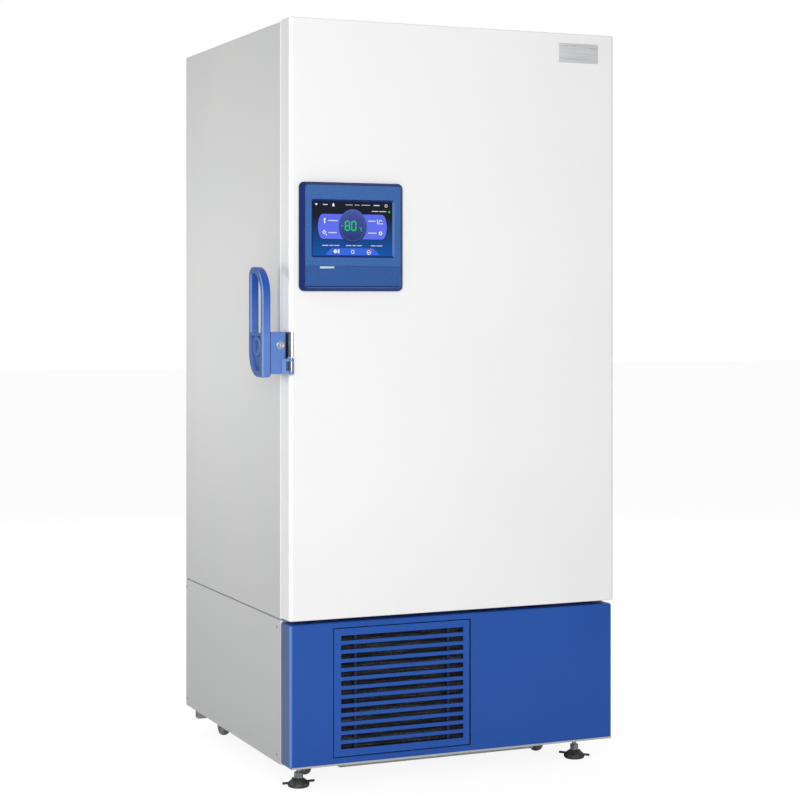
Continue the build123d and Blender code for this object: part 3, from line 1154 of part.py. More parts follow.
def make_air_filter():
    """A framed, pleated filter pad."""
    left, right, low, high = cooling_span()
    front, back = FILTER_FRONT_Y, FILTER_FRONT_Y + FILTER_THICKNESS
    pad_left, pad_right = left + FILTER_FRAME, right - FILTER_FRAME
    pad_low, pad_high = low + FILTER_FRAME, high - FILTER_FRAME
    frame = block(left, right, front, back, low, high)
    frame -= block(pad_left, pad_right, front - 1, back + 1, pad_low, pad_high)
    step = (pad_high - pad_low) / FILTER_PLEATS / 2
    crest, trough = front + PLEAT_INSET, back - PLEAT_INSET - PLEAT_THICKNESS
    folds = range(2 * FILTER_PLEATS + 1)
    line = [(crest if index % 2 else trough, pad_low + index * step) for index in folds]
    far = [(y + PLEAT_THICKNESS, z) for y, z in reversed(line)]
    section = make_face(Polyline(*[(-y, z) for y, z in line + far], close=True))
    return frame + extrude(side_plane(pad_right, 0, 0) * section, amount=pad_right - pad_left)


def make_condenser():
    """A finned coil between two side plates that stand on the base."""
    left, right, low, high = cooling_span()
    y0, y1 = CONDENSER_FRONT_Y, CONDENSER_BACK_Y
    side = CONDENSER_SIDE_PLATE
    foot_y = FRONT_PANEL_BACK_Y + 2.0
    coil = block(left, left + side, y0, y1, low, high) + block(left, left + side, foot_y, y1, PAN_TOP, low)
    coil += block(right - side, right, y0, y1, low, high)
    coil += block(right - side, right, foot_y, y1, PAN_TOP, low)
    step = (high - low) / CONDENSER_TUBE_ROWS
    for row in range(CONDENSER_TUBE_ROWS):
        z = low + step * (row + 0.5)
        y = (y0 + y1) / 2 + (CONDENSER_STAGGER if row % 2 else -CONDENSER_STAGGER)
        coil += rod(CONDENSER_TUBE_RADIUS, (left + side / 2, y, z), (right - side / 2, y, z))
    run = (right - left - 2 * side) / (CONDENSER_FINS + 1)
    for index in range(CONDENSER_FINS):
        x = left + side + run * (index + 1)
        coil += block(x - CONDENSER_FIN / 2, x + CONDENSER_FIN / 2, y0 + CONDENSER_FIN_INSET,
                      y1 - CONDENSER_FIN_INSET, low, high - CONDENSER_FIN_INSET)
    return coil


def make_fan_shroud():
    """A cowl that draws air through the condenser, with a ring round the fan."""
    left, right, low, high = cooling_span()
    y0, y1 = CONDENSER_BACK_Y, SHROUD_BACK_Y
    wall = SHROUD_SHEET
    ring = FAN_RADIUS + FAN_TIP_GAP
    cowl = block(left, right, y0, y1, low, high)
    cowl -= block(left + wall, right - wall, y0 - 1, y1 - wall, low + wall, high - wall)
    cowl += rod(ring + wall, (FAN_X, y1 - SHROUD_RING_DEPTH, FAN_Z), (FAN_X, y1, FAN_Z))
    for x in (-FOOT_X, FOOT_X):
        cowl -= rod(STUD_RADIUS + STUD_CLEARANCE, (x, FOOT_Y, PAN_TOP), (x, FOOT_Y, low + SHROUD_STUD_ROOM))
    return cowl - rod(ring, (FAN_X, y0 - 1, FAN_Z), (FAN_X, y1 + 1, FAN_Z))


def make_fan_motor():
    """The fan's motor on four flat arms that span the shroud's ring."""
    y0 = SHROUD_BACK_Y
    body = rod(MOTOR_RADIUS, (FAN_X, y0, FAN_Z), (FAN_X, y0 + MOTOR_LENGTH, FAN_Z))
    body = fillet(body.edges().sort_by(Axis.Y)[-1], MOTOR_EDGE_RADIUS)
    reach = FAN_RADIUS + FAN_TIP_GAP + MOTOR_ARM_LAP
    for index in range(4):
        arm = Pos(FAN_X, y0 + MOTOR_ARM_THICKNESS / 2, FAN_Z) * Rot(0, 45 + 90 * index, 0)
        body += arm * Pos(reach / 2, 0, 0) * Box(reach, MOTOR_ARM_THICKNESS, MOTOR_ARM_WIDTH)
    return body + rod(FAN_SHAFT_RADIUS, (FAN_X, y0 + 1, FAN_Z), (FAN_X, y0 - FAN_SHAFT_REACH, FAN_Z))


def make_fan_blades():
    """An axial fan: a hub and twisted blades."""
    y1 = SHROUD_BACK_Y - FAN_BACK_GAP
    y0 = y1 - FAN_HUB_LENGTH
    hub = rod(FAN_HUB_RADIUS, (FAN_X, y0, FAN_Z), (FAN_X, y1, FAN_Z))
    hub = fillet(hub.edges().sort_by(Axis.Y)[0], FAN_HUB_EDGE_RADIUS)
    root = Plane(origin=(0, 0, 0), x_dir=(0, 1, 0), z_dir=(1, 0, 0))
    inner = root.offset(FAN_HUB_RADIUS - FAN_ROOT_SINK) * Rot(0, 0, FAN_ROOT_ANGLE)
    outer = root.offset(FAN_RADIUS) * Rot(0, 0, FAN_TIP_ANGLE)
    blade = loft([inner * SlotOverall(FAN_ROOT_CHORD, FAN_BLADE_THICKNESS),
                  outer * SlotOverall(FAN_TIP_CHORD, FAN_BLADE_THICKNESS)])
    for index in range(FAN_BLADES):
        hub += Pos(FAN_X, (y0 + y1) / 2, FAN_Z) * Rot(0, 360 / FAN_BLADES * index, 0) * blade
    return hub - rod(FAN_SHAFT_RADIUS + FIT, (FAN_X, y0 - 1, FAN_Z), (FAN_X, y1 + 1, FAN_Z))


# Refrigeration and electrical pieces

def compressor_x(index):
    return (index - 0.5) * COMPRESSOR_SPACING


def compressor_base_z():
    return PAN_TOP + COMPRESSOR_RAIL_HEIGHT + GROMMET_HEIGHT


def make_compressor(index):
    """A hermetic compressor: a domed can on a foot plate, with two pipe stubs."""
    x, y, z = compressor_x(index), COMPRESSOR_Y, compressor_base_z()
    r, skirt, tall = COMPRESSOR_RADIUS, COMPRESSOR_SKIRT_RADIUS, COMPRESSOR_HEIGHT
    low, shoulder, top = COMPRESSOR_FOOT_SHEET / 2, COMPRESSOR_DOME, tall - COMPRESSOR_DOME
    outline = ThreePointArc((0, tall), (COMPRESSOR_CROWN_RADIUS, tall - COMPRESSOR_CROWN_DROP), (r, top))
    outline += Polyline((r, top), (r, shoulder), (skirt, COMPRESSOR_SKIRT_RISE), (skirt, low), (0, low),
                        (0, tall))
    can = revolve(Plane.XZ * make_face(outline), Axis.Z)
    can += rod(r + COMPRESSOR_SEAM_PROUD, (0, 0, top - COMPRESSOR_SEAM_DROP),
               (0, 0, top - COMPRESSOR_SEAM_DROP + COMPRESSOR_SEAM_HEIGHT))
    foot = RectangleRounded(2 * COMPRESSOR_FOOT, 2 * COMPRESSOR_FOOT_DEPTH, GROMMET_RADIUS)
    can += extrude(foot, amount=COMPRESSOR_FOOT_SHEET)
    can = Pos(x, y, z) * can
    for angle in (-STUB_ANGLE, STUB_ANGLE):
        end, side = stub_end(index, angle)
        start = end - side * (COMPRESSOR_STUB_LENGTH + COMPRESSOR_STUB_SINK)
        can += rod(COMPRESSOR_STUB_RADIUS, tuple(start), tuple(end))
    return can


def grommet_places():
    """Centres of the rubber mounts under both compressors."""
    dx = COMPRESSOR_FOOT - GROMMET_INSET
    dy = COMPRESSOR_FOOT_DEPTH - GROMMET_INSET
    return [(compressor_x(index) + sx * dx, COMPRESSOR_Y + sy * dy)
            for index in (0, 1) for sx in (-1, 1) for sy in (-1, 1)]


def make_compressor_mounts():
    """Soft bored mounts between the compressors' feet and their rails."""
    z = PAN_TOP + COMPRESSOR_RAIL_HEIGHT
    mounts = []
    for x, y in grommet_places():
        mount = rod(GROMMET_RADIUS, (x, y, z), (x, y, z + GROMMET_HEIGHT), bore=GROMMET_BORE_RADIUS)
        mounts.append(mount)
    return group(*mounts)


def stub_end(index, angle):
    """Where a compressor's pipe stub ends, and its direction."""
    side = Vector(0, -1, 0).rotate(Axis.Z, angle)
    centre = Vector(compressor_x(index), COMPRESSOR_Y, compressor_base_z() + COMPRESSOR_STUB_RISE)
    return centre + side * (COMPRESSOR_RADIUS + COMPRESSOR_STUB_LENGTH), side


def make_refrigerant_pipes():
    """Copper lines between the compressors, the condenser, the drier and the heat exchanger."""
    exchanger_x, exchanger_y = exchanger_centre()
    bend = 3.0 * PIPE_RADIUS

    def pipe(points):
        path = FilletPolyline(*points, radius=bend)
        section = Plane(origin=path @ 0, z_dir=path % 0) * Circle(PIPE_RADIUS)
        return sweep(section, path=path)

    def leave(index, angle, reach):
        start, side = stub_end(index, angle)
        return [tuple(start), tuple(start + side * reach)]

    z = stub_end(0, STUB_ANGLE)[0].Z
    coil_right = cooling_span()[1]
    coil_y = (CONDENSER_FRONT_Y + CONDENSER_BACK_Y) / 2
    discharge = leave(0, STUB_ANGLE, DISCHARGE_REACH)
    turn_x = discharge[1][0]
    discharge += [(turn_x, coil_y, z), (coil_right, coil_y, z)]
    suction = leave(1, STUB_ANGLE, SUCTION_REACH)
    suction += [(suction[1][0], exchanger_y - EXCHANGER_DEPTH / 2, z)]
    liquid = leave(0, -STUB_ANGLE, LIQUID_REACH)
    liquid += [(liquid[1][0], exchanger_y, z), (exchanger_x - EXCHANGER_WIDTH / 2, exchanger_y, z)]
    riser = leave(1, -STUB_ANGLE, LIQUID_REACH)
    riser += [(riser[1][0], riser[1][1], DECK_Z)]
    drier = rod(DRIER_RADIUS, (-DRIER_LENGTH, exchanger_y, z), (0, exchanger_y, z))
    drier = fillet(drier.edges().filter_by(GeomType.CIRCLE), DRIER_RADIUS / 2)
    lines = [pipe(discharge), pipe(suction), pipe(liquid) + drier, pipe(riser)]
    top = PAN_TOP + EXCHANGER_HEIGHT
    for x in (exchanger_x - EXCHANGER_WIDTH / 4, exchanger_x + EXCHANGER_WIDTH / 4):
        lines.append(rod(PIPE_RADIUS, (x, exchanger_y, top), (x, exchanger_y, DECK_Z)))
    return group(*lines)


def exchanger_centre():
    """Where the heat exchanger stands, seen from above."""
    return (INNER_HALF - RAIL_TUBE - EXCHANGER_SIDE_GAP - EXCHANGER_WIDTH / 2,
            CABINET_DEPTH - POST - EXCHANGER_REAR_GAP - EXCHANGER_DEPTH / 2)


def make_heat_exchanger():
    """The insulated block that joins the two cooling stages."""
    x, y = exchanger_centre()
    half_width, half_depth = EXCHANGER_WIDTH / 2, EXCHANGER_DEPTH / 2
    body = block(x - half_width, x + half_width, y - half_depth, y + half_depth,
                 PAN_TOP, PAN_TOP + EXCHANGER_HEIGHT)
    return fillet(body.edges().filter_by(Axis.Z), EXCHANGER_EDGE_RADIUS)


def make_electrical_box():
    """A lidded steel box for the power and control boards."""
    right = INNER_HALF - RAIL_TUBE - BOX_SIDE_GAP
    left = cooling_span()[1] + BOX_COIL_GAP
    top = PAN_TOP + BOX_HEIGHT
    box = block(left, right, BOX_FRONT_Y, BOX_FRONT_Y + BOX_DEPTH, PAN_TOP, top)
    box = fillet(box.edges().filter_by(Axis.Z), BOX_EDGE_RADIUS)
    return box + block(left - BOX_LID_LAP, right + BOX_LID_LAP, BOX_FRONT_Y - BOX_SHEET,
                       BOX_FRONT_Y + BOX_LID_DEPTH, PAN_TOP, top + BOX_LID_LAP)


# Base

def make_base_pan():
    """The sheet under the compartment, with a front lip and a weld nut over each levelling foot."""
    front = DOOR_FRONT_Y + PAN_LIP_SETBACK
    pan = block(-INNER_HALF, INNER_HALF, SHELL_EDGE_RADIUS, CABINET_DEPTH - SHEET, BASE_Z, PAN_TOP)
    tongue = HALF_WIDTH - SIDE_FLANGE - 1.0
    pan += block(-tongue, tongue, front, SHELL_EDGE_RADIUS, BASE_Z, PAN_TOP)
    half = INNER_HALF - FRONT_PANEL_RIGHT_INSET
    pan += block(-half, half, front, FRONT_PANEL_BACK_Y - 1.0, BASE_Z, PAN_TOP)
    pan += block(-half, half, front, front + PAN_SHEET, BASE_Z, BASE_Z + PAN_LIP_HEIGHT)
    pieces = []
    for x in (-FOOT_X, FOOT_X):
        bore = rod(STUD_RADIUS + FIT, (x, FOOT_Y, BASE_Z - 1), (x, FOOT_Y, PAN_TOP + WELD_NUT_HEIGHT + 1))
        pan -= bore
        pieces.append(hex_bar(WELD_NUT, (x, FOOT_Y, PAN_TOP), WELD_NUT_HEIGHT, (0, 0, 1)) - bore)
    for x, y in caster_places():
        pan -= rod(KINGPIN_RADIUS + 1.0, (x, y, BASE_Z - 1), (x, y, PAN_TOP + 1))
    return group(pan, *pieces)


def make_base_frame():
    """Side rails, corner posts, compressor rails and the two low cross members."""
    pieces = []
    rear = CABINET_DEPTH - SHEET
    for sign in (-1, 1):
        x0, x1 = sorted((sign * INNER_HALF, sign * (INNER_HALF - RAIL_TUBE)))
        pieces.append(block(x0, x1, POST, rear - POST, PAN_TOP, PAN_TOP + RAIL_TUBE))
        px0, px1 = sorted((sign * (INNER_HALF - SHEET), sign * (INNER_HALF - POST)))
        for y0, y1, wall_y in ((0.0, POST, 0.0), (rear - POST, rear, rear - POST_WALL)):
            post = block(px0, px1, y0, y1, PAN_TOP, DECK_Z)
            cut_x0, cut_x1 = (px0 - 1, px1 - POST_WALL) if sign > 0 else (px0 + POST_WALL, px1 + 1)
            cut_y0, cut_y1 = (y0 + POST_WALL, y1 + 1) if wall_y == y0 else (y0 - 1, y1 - POST_WALL)
            pieces.append(post - block(cut_x0, cut_x1, cut_y0, cut_y1, PAN_TOP - 1, DECK_Z + 1))
    return group(*pieces, *compressor_rails(), *low_members())


def compressor_rails():
    """Two bars across the base that carry the compressors."""
    half = INNER_HALF - RAIL_TUBE
    top = PAN_TOP + COMPRESSOR_RAIL_HEIGHT
    rows = sorted({place[1] for place in grommet_places()})
    return [block(-half, half, y - GROMMET_RADIUS, y + GROMMET_RADIUS, PAN_TOP, top) for y in rows]


def low_members():
    """Open-ended box tubes under the base, one near the front and one at the rear."""
    tubes = []
    wall = LOW_MEMBER_WALL
    low = BASE_Z - LOW_MEMBER_HEIGHT
    for half, y in ((FRONT_MEMBER_HALF, FRONT_MEMBER_Y), (REAR_MEMBER_HALF, REAR_MEMBER_Y)):
        y0, y1 = y - LOW_MEMBER_WIDTH / 2, y + LOW_MEMBER_WIDTH / 2
        tube = fillet(block(-half, half, y0, y1, low, BASE_Z).edges().filter_by(Axis.X), wall)
        tubes.append(tube - block(-half - 1, half + 1, y0 + wall, y1 - wall, low + wall, BASE_Z - wall))
    return tubes


# Casters and feet

def caster_places():
    """Swivel axes in order: front left, front right, rear left, rear right."""
    return [(-FRONT_CASTER_X, FRONT_CASTER_Y), (FRONT_CASTER_X, FRONT_CASTER_Y),
            (-REAR_CASTER_X, REAR_CASTER_Y), (REAR_CASTER_X, REAR_CASTER_Y)]


def make_caster_plates():
    """Fixed top plates with a bored race for each kingpin."""
    plates = []
    bottom = CASTER_TOP - CASTER_PLATE_SHEET
    outline = RectangleRounded(CASTER_PLATE, CASTER_PLATE, CASTER_PLATE_RADIUS)
    for x, y in caster_places():
        plate = extrude(Pos(x, y, bottom) * outline, amount=CASTER_PLATE_SHEET)
        plates.append(plate - rod(KINGPIN_RADIUS + FIT, (x, y, bottom - 1), (x, y, CASTER_TOP + 1)))
    return group(*plates)


def make_caster_fork(place):
    """A trailing fork: a crown on its kingpin, two cheeks and the wheel's axle."""
    x, y = place
    crown_top = CASTER_TOP - CASTER_PLATE_SHEET - RUNNING_GAP
    crown_low = crown_top - CROWN_HEIGHT
    fork = rod(CROWN_RADIUS, (0, 0, crown_low), (0, 0, crown_top))
    fork += rod(KINGPIN_RADIUS, (0, 0, crown_low), (0, 0, CASTER_TOP - RUNNING_GAP))
    inner = WHEEL_WIDTH / 2 + FORK_GAP
    far, near = CASTER_TRAIL + FORK_TIP, CASTER_TRAIL - FORK_TIP
    cheek = Polyline((-FORK_HEEL, crown_low), (-FORK_HEEL, crown_top), (2 * FORK_HEEL, crown_top),
                     (far, AXLE_Z + FORK_SHOULDER), (far, AXLE_Z - FORK_DROP), (near, AXLE_Z - FORK_DROP),
                     close=True)
    side = Plane(origin=(0, 0, 0), x_dir=(0, 1, 0), z_dir=(1, 0, 0))
    for start in (inner, -inner - FORK_CHEEK):
        fork += extrude(side.offset(start) * make_face(cheek), amount=FORK_CHEEK)
    bridge = inner + FORK_CHEEK
    fork += block(-bridge, bridge, -FORK_HEEL, 0.5, crown_low, crown_top)
    reach = bridge + AXLE_PROUD
    fork += rod(WHEEL_BORE_RADIUS, (-reach, CASTER_TRAIL, AXLE_Z), (reach, CASTER_TRAIL, AXLE_Z))
    return Pos(x, y, 0) * fork


def make_caster_wheel(place):
    """A wheel with a crowned tread, a dished disc and a bored hub."""
    x, y = place
    r, half = WHEEL_RADIUS, WHEEL_WIDTH / 2
    bore, hub = WHEEL_BORE_RADIUS + FIT, WHEEL_BORE_RADIUS + WHEEL_HUB_WALL
    rim, tread, dish = r - WHEEL_RIM, r - WHEEL_CROWN, half - WHEEL_DISH
    left = [(bore, -half), (hub, -half), (hub + 1, -dish), (rim - 2, -dish), (rim, 1 - half),
            (tread, 1 - half)]
    right = [(radius, -across) for radius, across in reversed(left)]
    outline = Polyline(*left) + ThreePointArc(left[-1], (r, 0), right[0]) + Polyline(*right, left[0])
    wheel = revolve(make_face(outline), Axis.Y)
    return Pos(x, y + CASTER_TRAIL, AXLE_Z) * Rot(0, 0, 90) * wheel


def make_foot_pad(x, turn):
    """A moulded foot: a rounded disc with four hand arms, turned by an angle about its stud."""
    r, tall = FOOT_RADIUS, FOOT_HEIGHT
    rim, neck = r - FOOT_RIM, STUD_RADIUS + FOOT_NECK
    outline = Polyline((0, tall), (0, 0), (r - 2 * FOOT_RIM, 0))
    outline += ThreePointArc((r - 2 * FOOT_RIM, 0), (r, tall / 4), (rim, tall / 2))
    outline += ThreePointArc((rim, tall / 2), (FOOT_SHOULDER, tall - FOOT_CREST_DROP), (neck, tall))
    outline += Line((neck, tall), (0, tall))
    pad = revolve(Plane.XZ * make_face(outline), Axis.Z)
    arm = rod(FOOT_ARM_RADIUS, (rim - FOOT_RIM, 0, FOOT_ARM_Z), (FOOT_ARM_REACH, 0, FOOT_ARM_Z))
    for index in range(4):
        pad += Rot(0, 0, 90 * index) * arm
    return Pos(x, FOOT_Y, 0) * Rot(0, 0, turn) * pad


def make_foot_stud(x):
    """A levelling stud with a hexagon for a spanner."""
    hexagon = hex_bar(FOOT_HEX, (x, FOOT_Y, FOOT_HEIGHT), FOOT_HEX_HEIGHT, (0, 0, 1))
    stud = rod(STUD_RADIUS, (x, FOOT_Y, FOOT_HEIGHT), (x, FOOT_Y, PAN_TOP + STUD_TOP_ABOVE_PAN))
    return hexagon + chamfer(stud.edges().sort_by(Axis.Z)[-1], 1.0)


def make_cable_gland():
    """The cord's outlet: a flanged gland with a domed nut and an open bore."""
    y0, y1 = CABINET_DEPTH - SHEET - GLAND_INSIDE, CABINET_DEPTH + GLAND_PROUD
    body = rod(GLAND_NECK_RADIUS, (GLAND_X, y0, GLAND_Z), (GLAND_X, CABINET_DEPTH + 1, GLAND_Z))
    dome = rod(GLAND_RADIUS, (GLAND_X, CABINET_DEPTH + 1, GLAND_Z), (GLAND_X, y1, GLAND_Z))
    body += fillet(dome.edges().sort_by(Axis.Y)[-1], GLAND_DOME_RADIUS)
    body += hex_bar(GLAND_FLANGE, (GLAND_X, CABINET_DEPTH, GLAND_Z), GLAND_FLANGE_DEPTH, (0, 1, 0))
    body += hex_bar(GLAND_NUT, (GLAND_X, CABINET_DEPTH - SHEET, GLAND_Z), GLAND_NUT_DEPTH, (0, -1, 0))
    return body - rod(GLAND_BORE_RADIUS, (GLAND_X, y0 - 1, GLAND_Z), (GLAND_X, y1 + 1, GLAND_Z))


def build():
    """Every node by name, in the working frame."""
    lower, upper = inner_door_spans()
    nodes = {
        "outer_shell": make_outer_shell(),
        "back_panel": make_back_panel(),
        "cabinet_insulation": make_cabinet_insulation(),
        "inner_liner": make_inner_liner(),
        "throat_frame": make_throat_frame(),
        "shelves": make_shelves(),
        "shelf_rails": make_shelf_rails(),
        "inner_door_seals": make_inner_door_seals(),
        "inner_door_lower": make_inner_door(*lower),
        "inner_door_upper": make_inner_door(*upper),
        "door_skin": make_door_skin(),
        "door_core": make_door_core(),
        "door_liner": make_door_liner(),
        "door_gasket": make_door_gasket(),
        "cabinet_hinges": make_cabinet_hinges(),
        "door_hinge_leaves": make_door_hinge_leaves(),
        "control_bezel": make_control_bezel(),
        "touch_screen": make_touch_screen(),
        "display_module": make_display_module(),
        "service_flap": make_service_flap(),
        "handle_bracket": make_handle_bracket(),
        "handle_pin": make_handle_pin(),
        "handle_lever": make_handle_lever(),
        "lock_cylinder": make_lock_cylinder(),
        "latch_hook": make_latch_hook(),
        "latch_keeper": make_latch_keeper(),
        "compartment_deck": make_compartment_deck(),
        "lower_side_left": make_lower_side(-1),
        "lower_side_right": make_lower_side(1),
        "rear_cover": make_rear_cover(),
        "front_panel": make_front_panel(),
        "grille_door": make_grille_door(),
        "air_filter": make_air_filter(),
        "condenser": make_condenser(),
        "fan_shroud": make_fan_shroud(),
        "fan_motor": make_fan_motor(),
        "fan_blades": make_fan_blades(),
        "compressor_high_stage": make_compressor(0),
        "compressor_low_stage": make_compressor(1),
        "compressor_mounts": make_compressor_mounts(),
        "refrigerant_pipes": make_refrigerant_pipes(),
        "heat_exchanger": make_heat_exchanger(),
        "electrical_box": make_electrical_box(),
        "base_pan": make_base_pan(),
        "base_frame": make_base_frame(),
        "caster_plates": make_caster_plates(),
        "cable_gland": make_cable_gland(),
        "foot_pad_left": make_foot_pad(-FOOT_X, FOOT_LEFT_TURN),
        "foot_pad_right": make_foot_pad(FOOT_X, FOOT_RIGHT_TURN),
        "foot_stud_left": make_foot_stud(-FOOT_X),
        "foot_stud_right": make_foot_stud(FOOT_X),
    }
    for corner, place in zip(("front_left", "front_right", "rear_left", "rear_right"), caster_places()):
        nodes["caster_fork_" + corner] = make_caster_fork(place)
        nodes["caster_wheel_" + corner] = make_caster_wheel(place)
    return nodes


os.makedirs("parts", exist_ok=True)
for name, shape in build().items():
    export_step(SHIFT * shape, os.path.join("parts", name + ".step"))
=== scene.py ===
"""Looks of an upright ultra low temperature freezer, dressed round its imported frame.

Every piece is in metres in the frame's own axes: +Z up, +Y from the door to the back, and +X from
the handle's side to the hinge side. Sizes are written in millimetres and turned once, by mm().
"""

from __future__ import annotations

import json
import logging
import math
from dataclasses import dataclass, field, replace
from enum import Enum
from typing import Iterable, Mapping, Sequence

import bmesh
import bpy
from mathutils import Matrix, Vector

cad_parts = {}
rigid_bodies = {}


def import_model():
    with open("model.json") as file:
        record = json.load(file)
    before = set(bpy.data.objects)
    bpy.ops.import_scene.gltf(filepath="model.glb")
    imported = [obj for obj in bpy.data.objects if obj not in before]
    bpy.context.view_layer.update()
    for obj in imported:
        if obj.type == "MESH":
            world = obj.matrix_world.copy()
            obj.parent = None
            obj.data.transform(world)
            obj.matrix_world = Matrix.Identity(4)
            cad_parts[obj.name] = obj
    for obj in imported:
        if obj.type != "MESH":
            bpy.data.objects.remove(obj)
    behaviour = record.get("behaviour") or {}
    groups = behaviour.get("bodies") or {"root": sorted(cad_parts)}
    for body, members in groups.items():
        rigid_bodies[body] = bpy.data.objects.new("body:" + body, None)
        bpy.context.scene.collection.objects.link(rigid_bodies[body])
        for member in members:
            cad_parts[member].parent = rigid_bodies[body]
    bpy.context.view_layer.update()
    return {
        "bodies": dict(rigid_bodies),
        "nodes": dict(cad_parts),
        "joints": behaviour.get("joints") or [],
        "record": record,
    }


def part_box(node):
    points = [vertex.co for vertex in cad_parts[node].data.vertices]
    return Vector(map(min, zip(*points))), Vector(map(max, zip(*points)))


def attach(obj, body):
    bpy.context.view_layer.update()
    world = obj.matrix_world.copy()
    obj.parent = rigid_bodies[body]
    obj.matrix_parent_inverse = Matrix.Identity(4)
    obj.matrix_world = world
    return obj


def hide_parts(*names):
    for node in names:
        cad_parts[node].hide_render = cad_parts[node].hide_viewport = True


LOG = logging.getLogger("freezer")
IMAGE_SIDE = 800.0
SENSOR_MM = 36.0
CAMERA_REACH_M = 100.0
MM_PER_M = 1000.0
# Edges that are sharper than this stay sharp, and points that are nearer than this are one.
SHARP_DEG = 35.0
WELD_MM = 1e-4
# A screw head's height and its socket's radius, as shares of its radius.
HEAD_RISE = 0.42
SOCKET_SHARE = 0.45
# Sides of what the display shows as round.
ROUND_SIDES = 48

# Sockets of a Mix node that mixes colours.
MIX_FIRST = 6
MIX_SECOND = 7
MIX_COLOUR = 2

Colour = tuple[float, float, float, float]
Flat = tuple[float, float]
Span = tuple[float, float]
Socket = bpy.types.NodeSocket


def mm(value: float) -> float:
    """Turn millimetres into metres."""
    return value / MM_PER_M


def per_mm(size: float) -> float:
    """Give the texture scale at which a pattern's grain is about size millimetres."""
    return MM_PER_M / size


def linear(code: str) -> Colour:
    """Turn an sRGB hex value into linear colour, by the standard's own curve.

    Args:
        code: Six hex digits, such as "F3F3F3".

    Returns:
        Linear red, green and blue with an alpha of 1.
    """
    parts = [int(code[start:start + 2], 16) / 255.0 for start in (0, 2, 4)]
    bent = [part / 12.92 if part <= 0.04045 else ((part + 0.055) / 1.055) ** 2.4 for part in parts]
    return (bent[0], bent[1], bent[2], 1.0)


def add_node(
    tree: bpy.types.NodeTree,
    kind: str,
    settings: Mapping[object, object] | None = None,
    links: Mapping[object, Socket] | None = None,
) -> bpy.types.Node:
    """Add a node, set its properties and input values, and link its inputs.

    Args:
        tree: The shader or geometry tree that gets the node.
        kind: The node's type name.
        settings: Property names, input names or input numbers, each with its value.
        links: Input names or numbers, each with the output socket that feeds it.

    Returns:
        The new node.
    """
    node = tree.nodes.new(kind)
    for key, value in (settings or {}).items():
        if isinstance(key, str) and hasattr(node, key):
            setattr(node, key, value)
        else:
            node.inputs[key].default_value = value
    for key, socket in (links or {}).items():
        tree.links.new(socket, node.inputs[key])
    return node


class Axis(Enum):
    """The way that a brushed grain, a cut or a row runs."""

    X = 0
    Y = 1
    Z = 2

    def vector(self, along: float, across: float) -> tuple[float, float, float]:
        """Give a vector with one value along this axis and another across it."""
        return tuple(along if index == self.value else across for index in range(3))


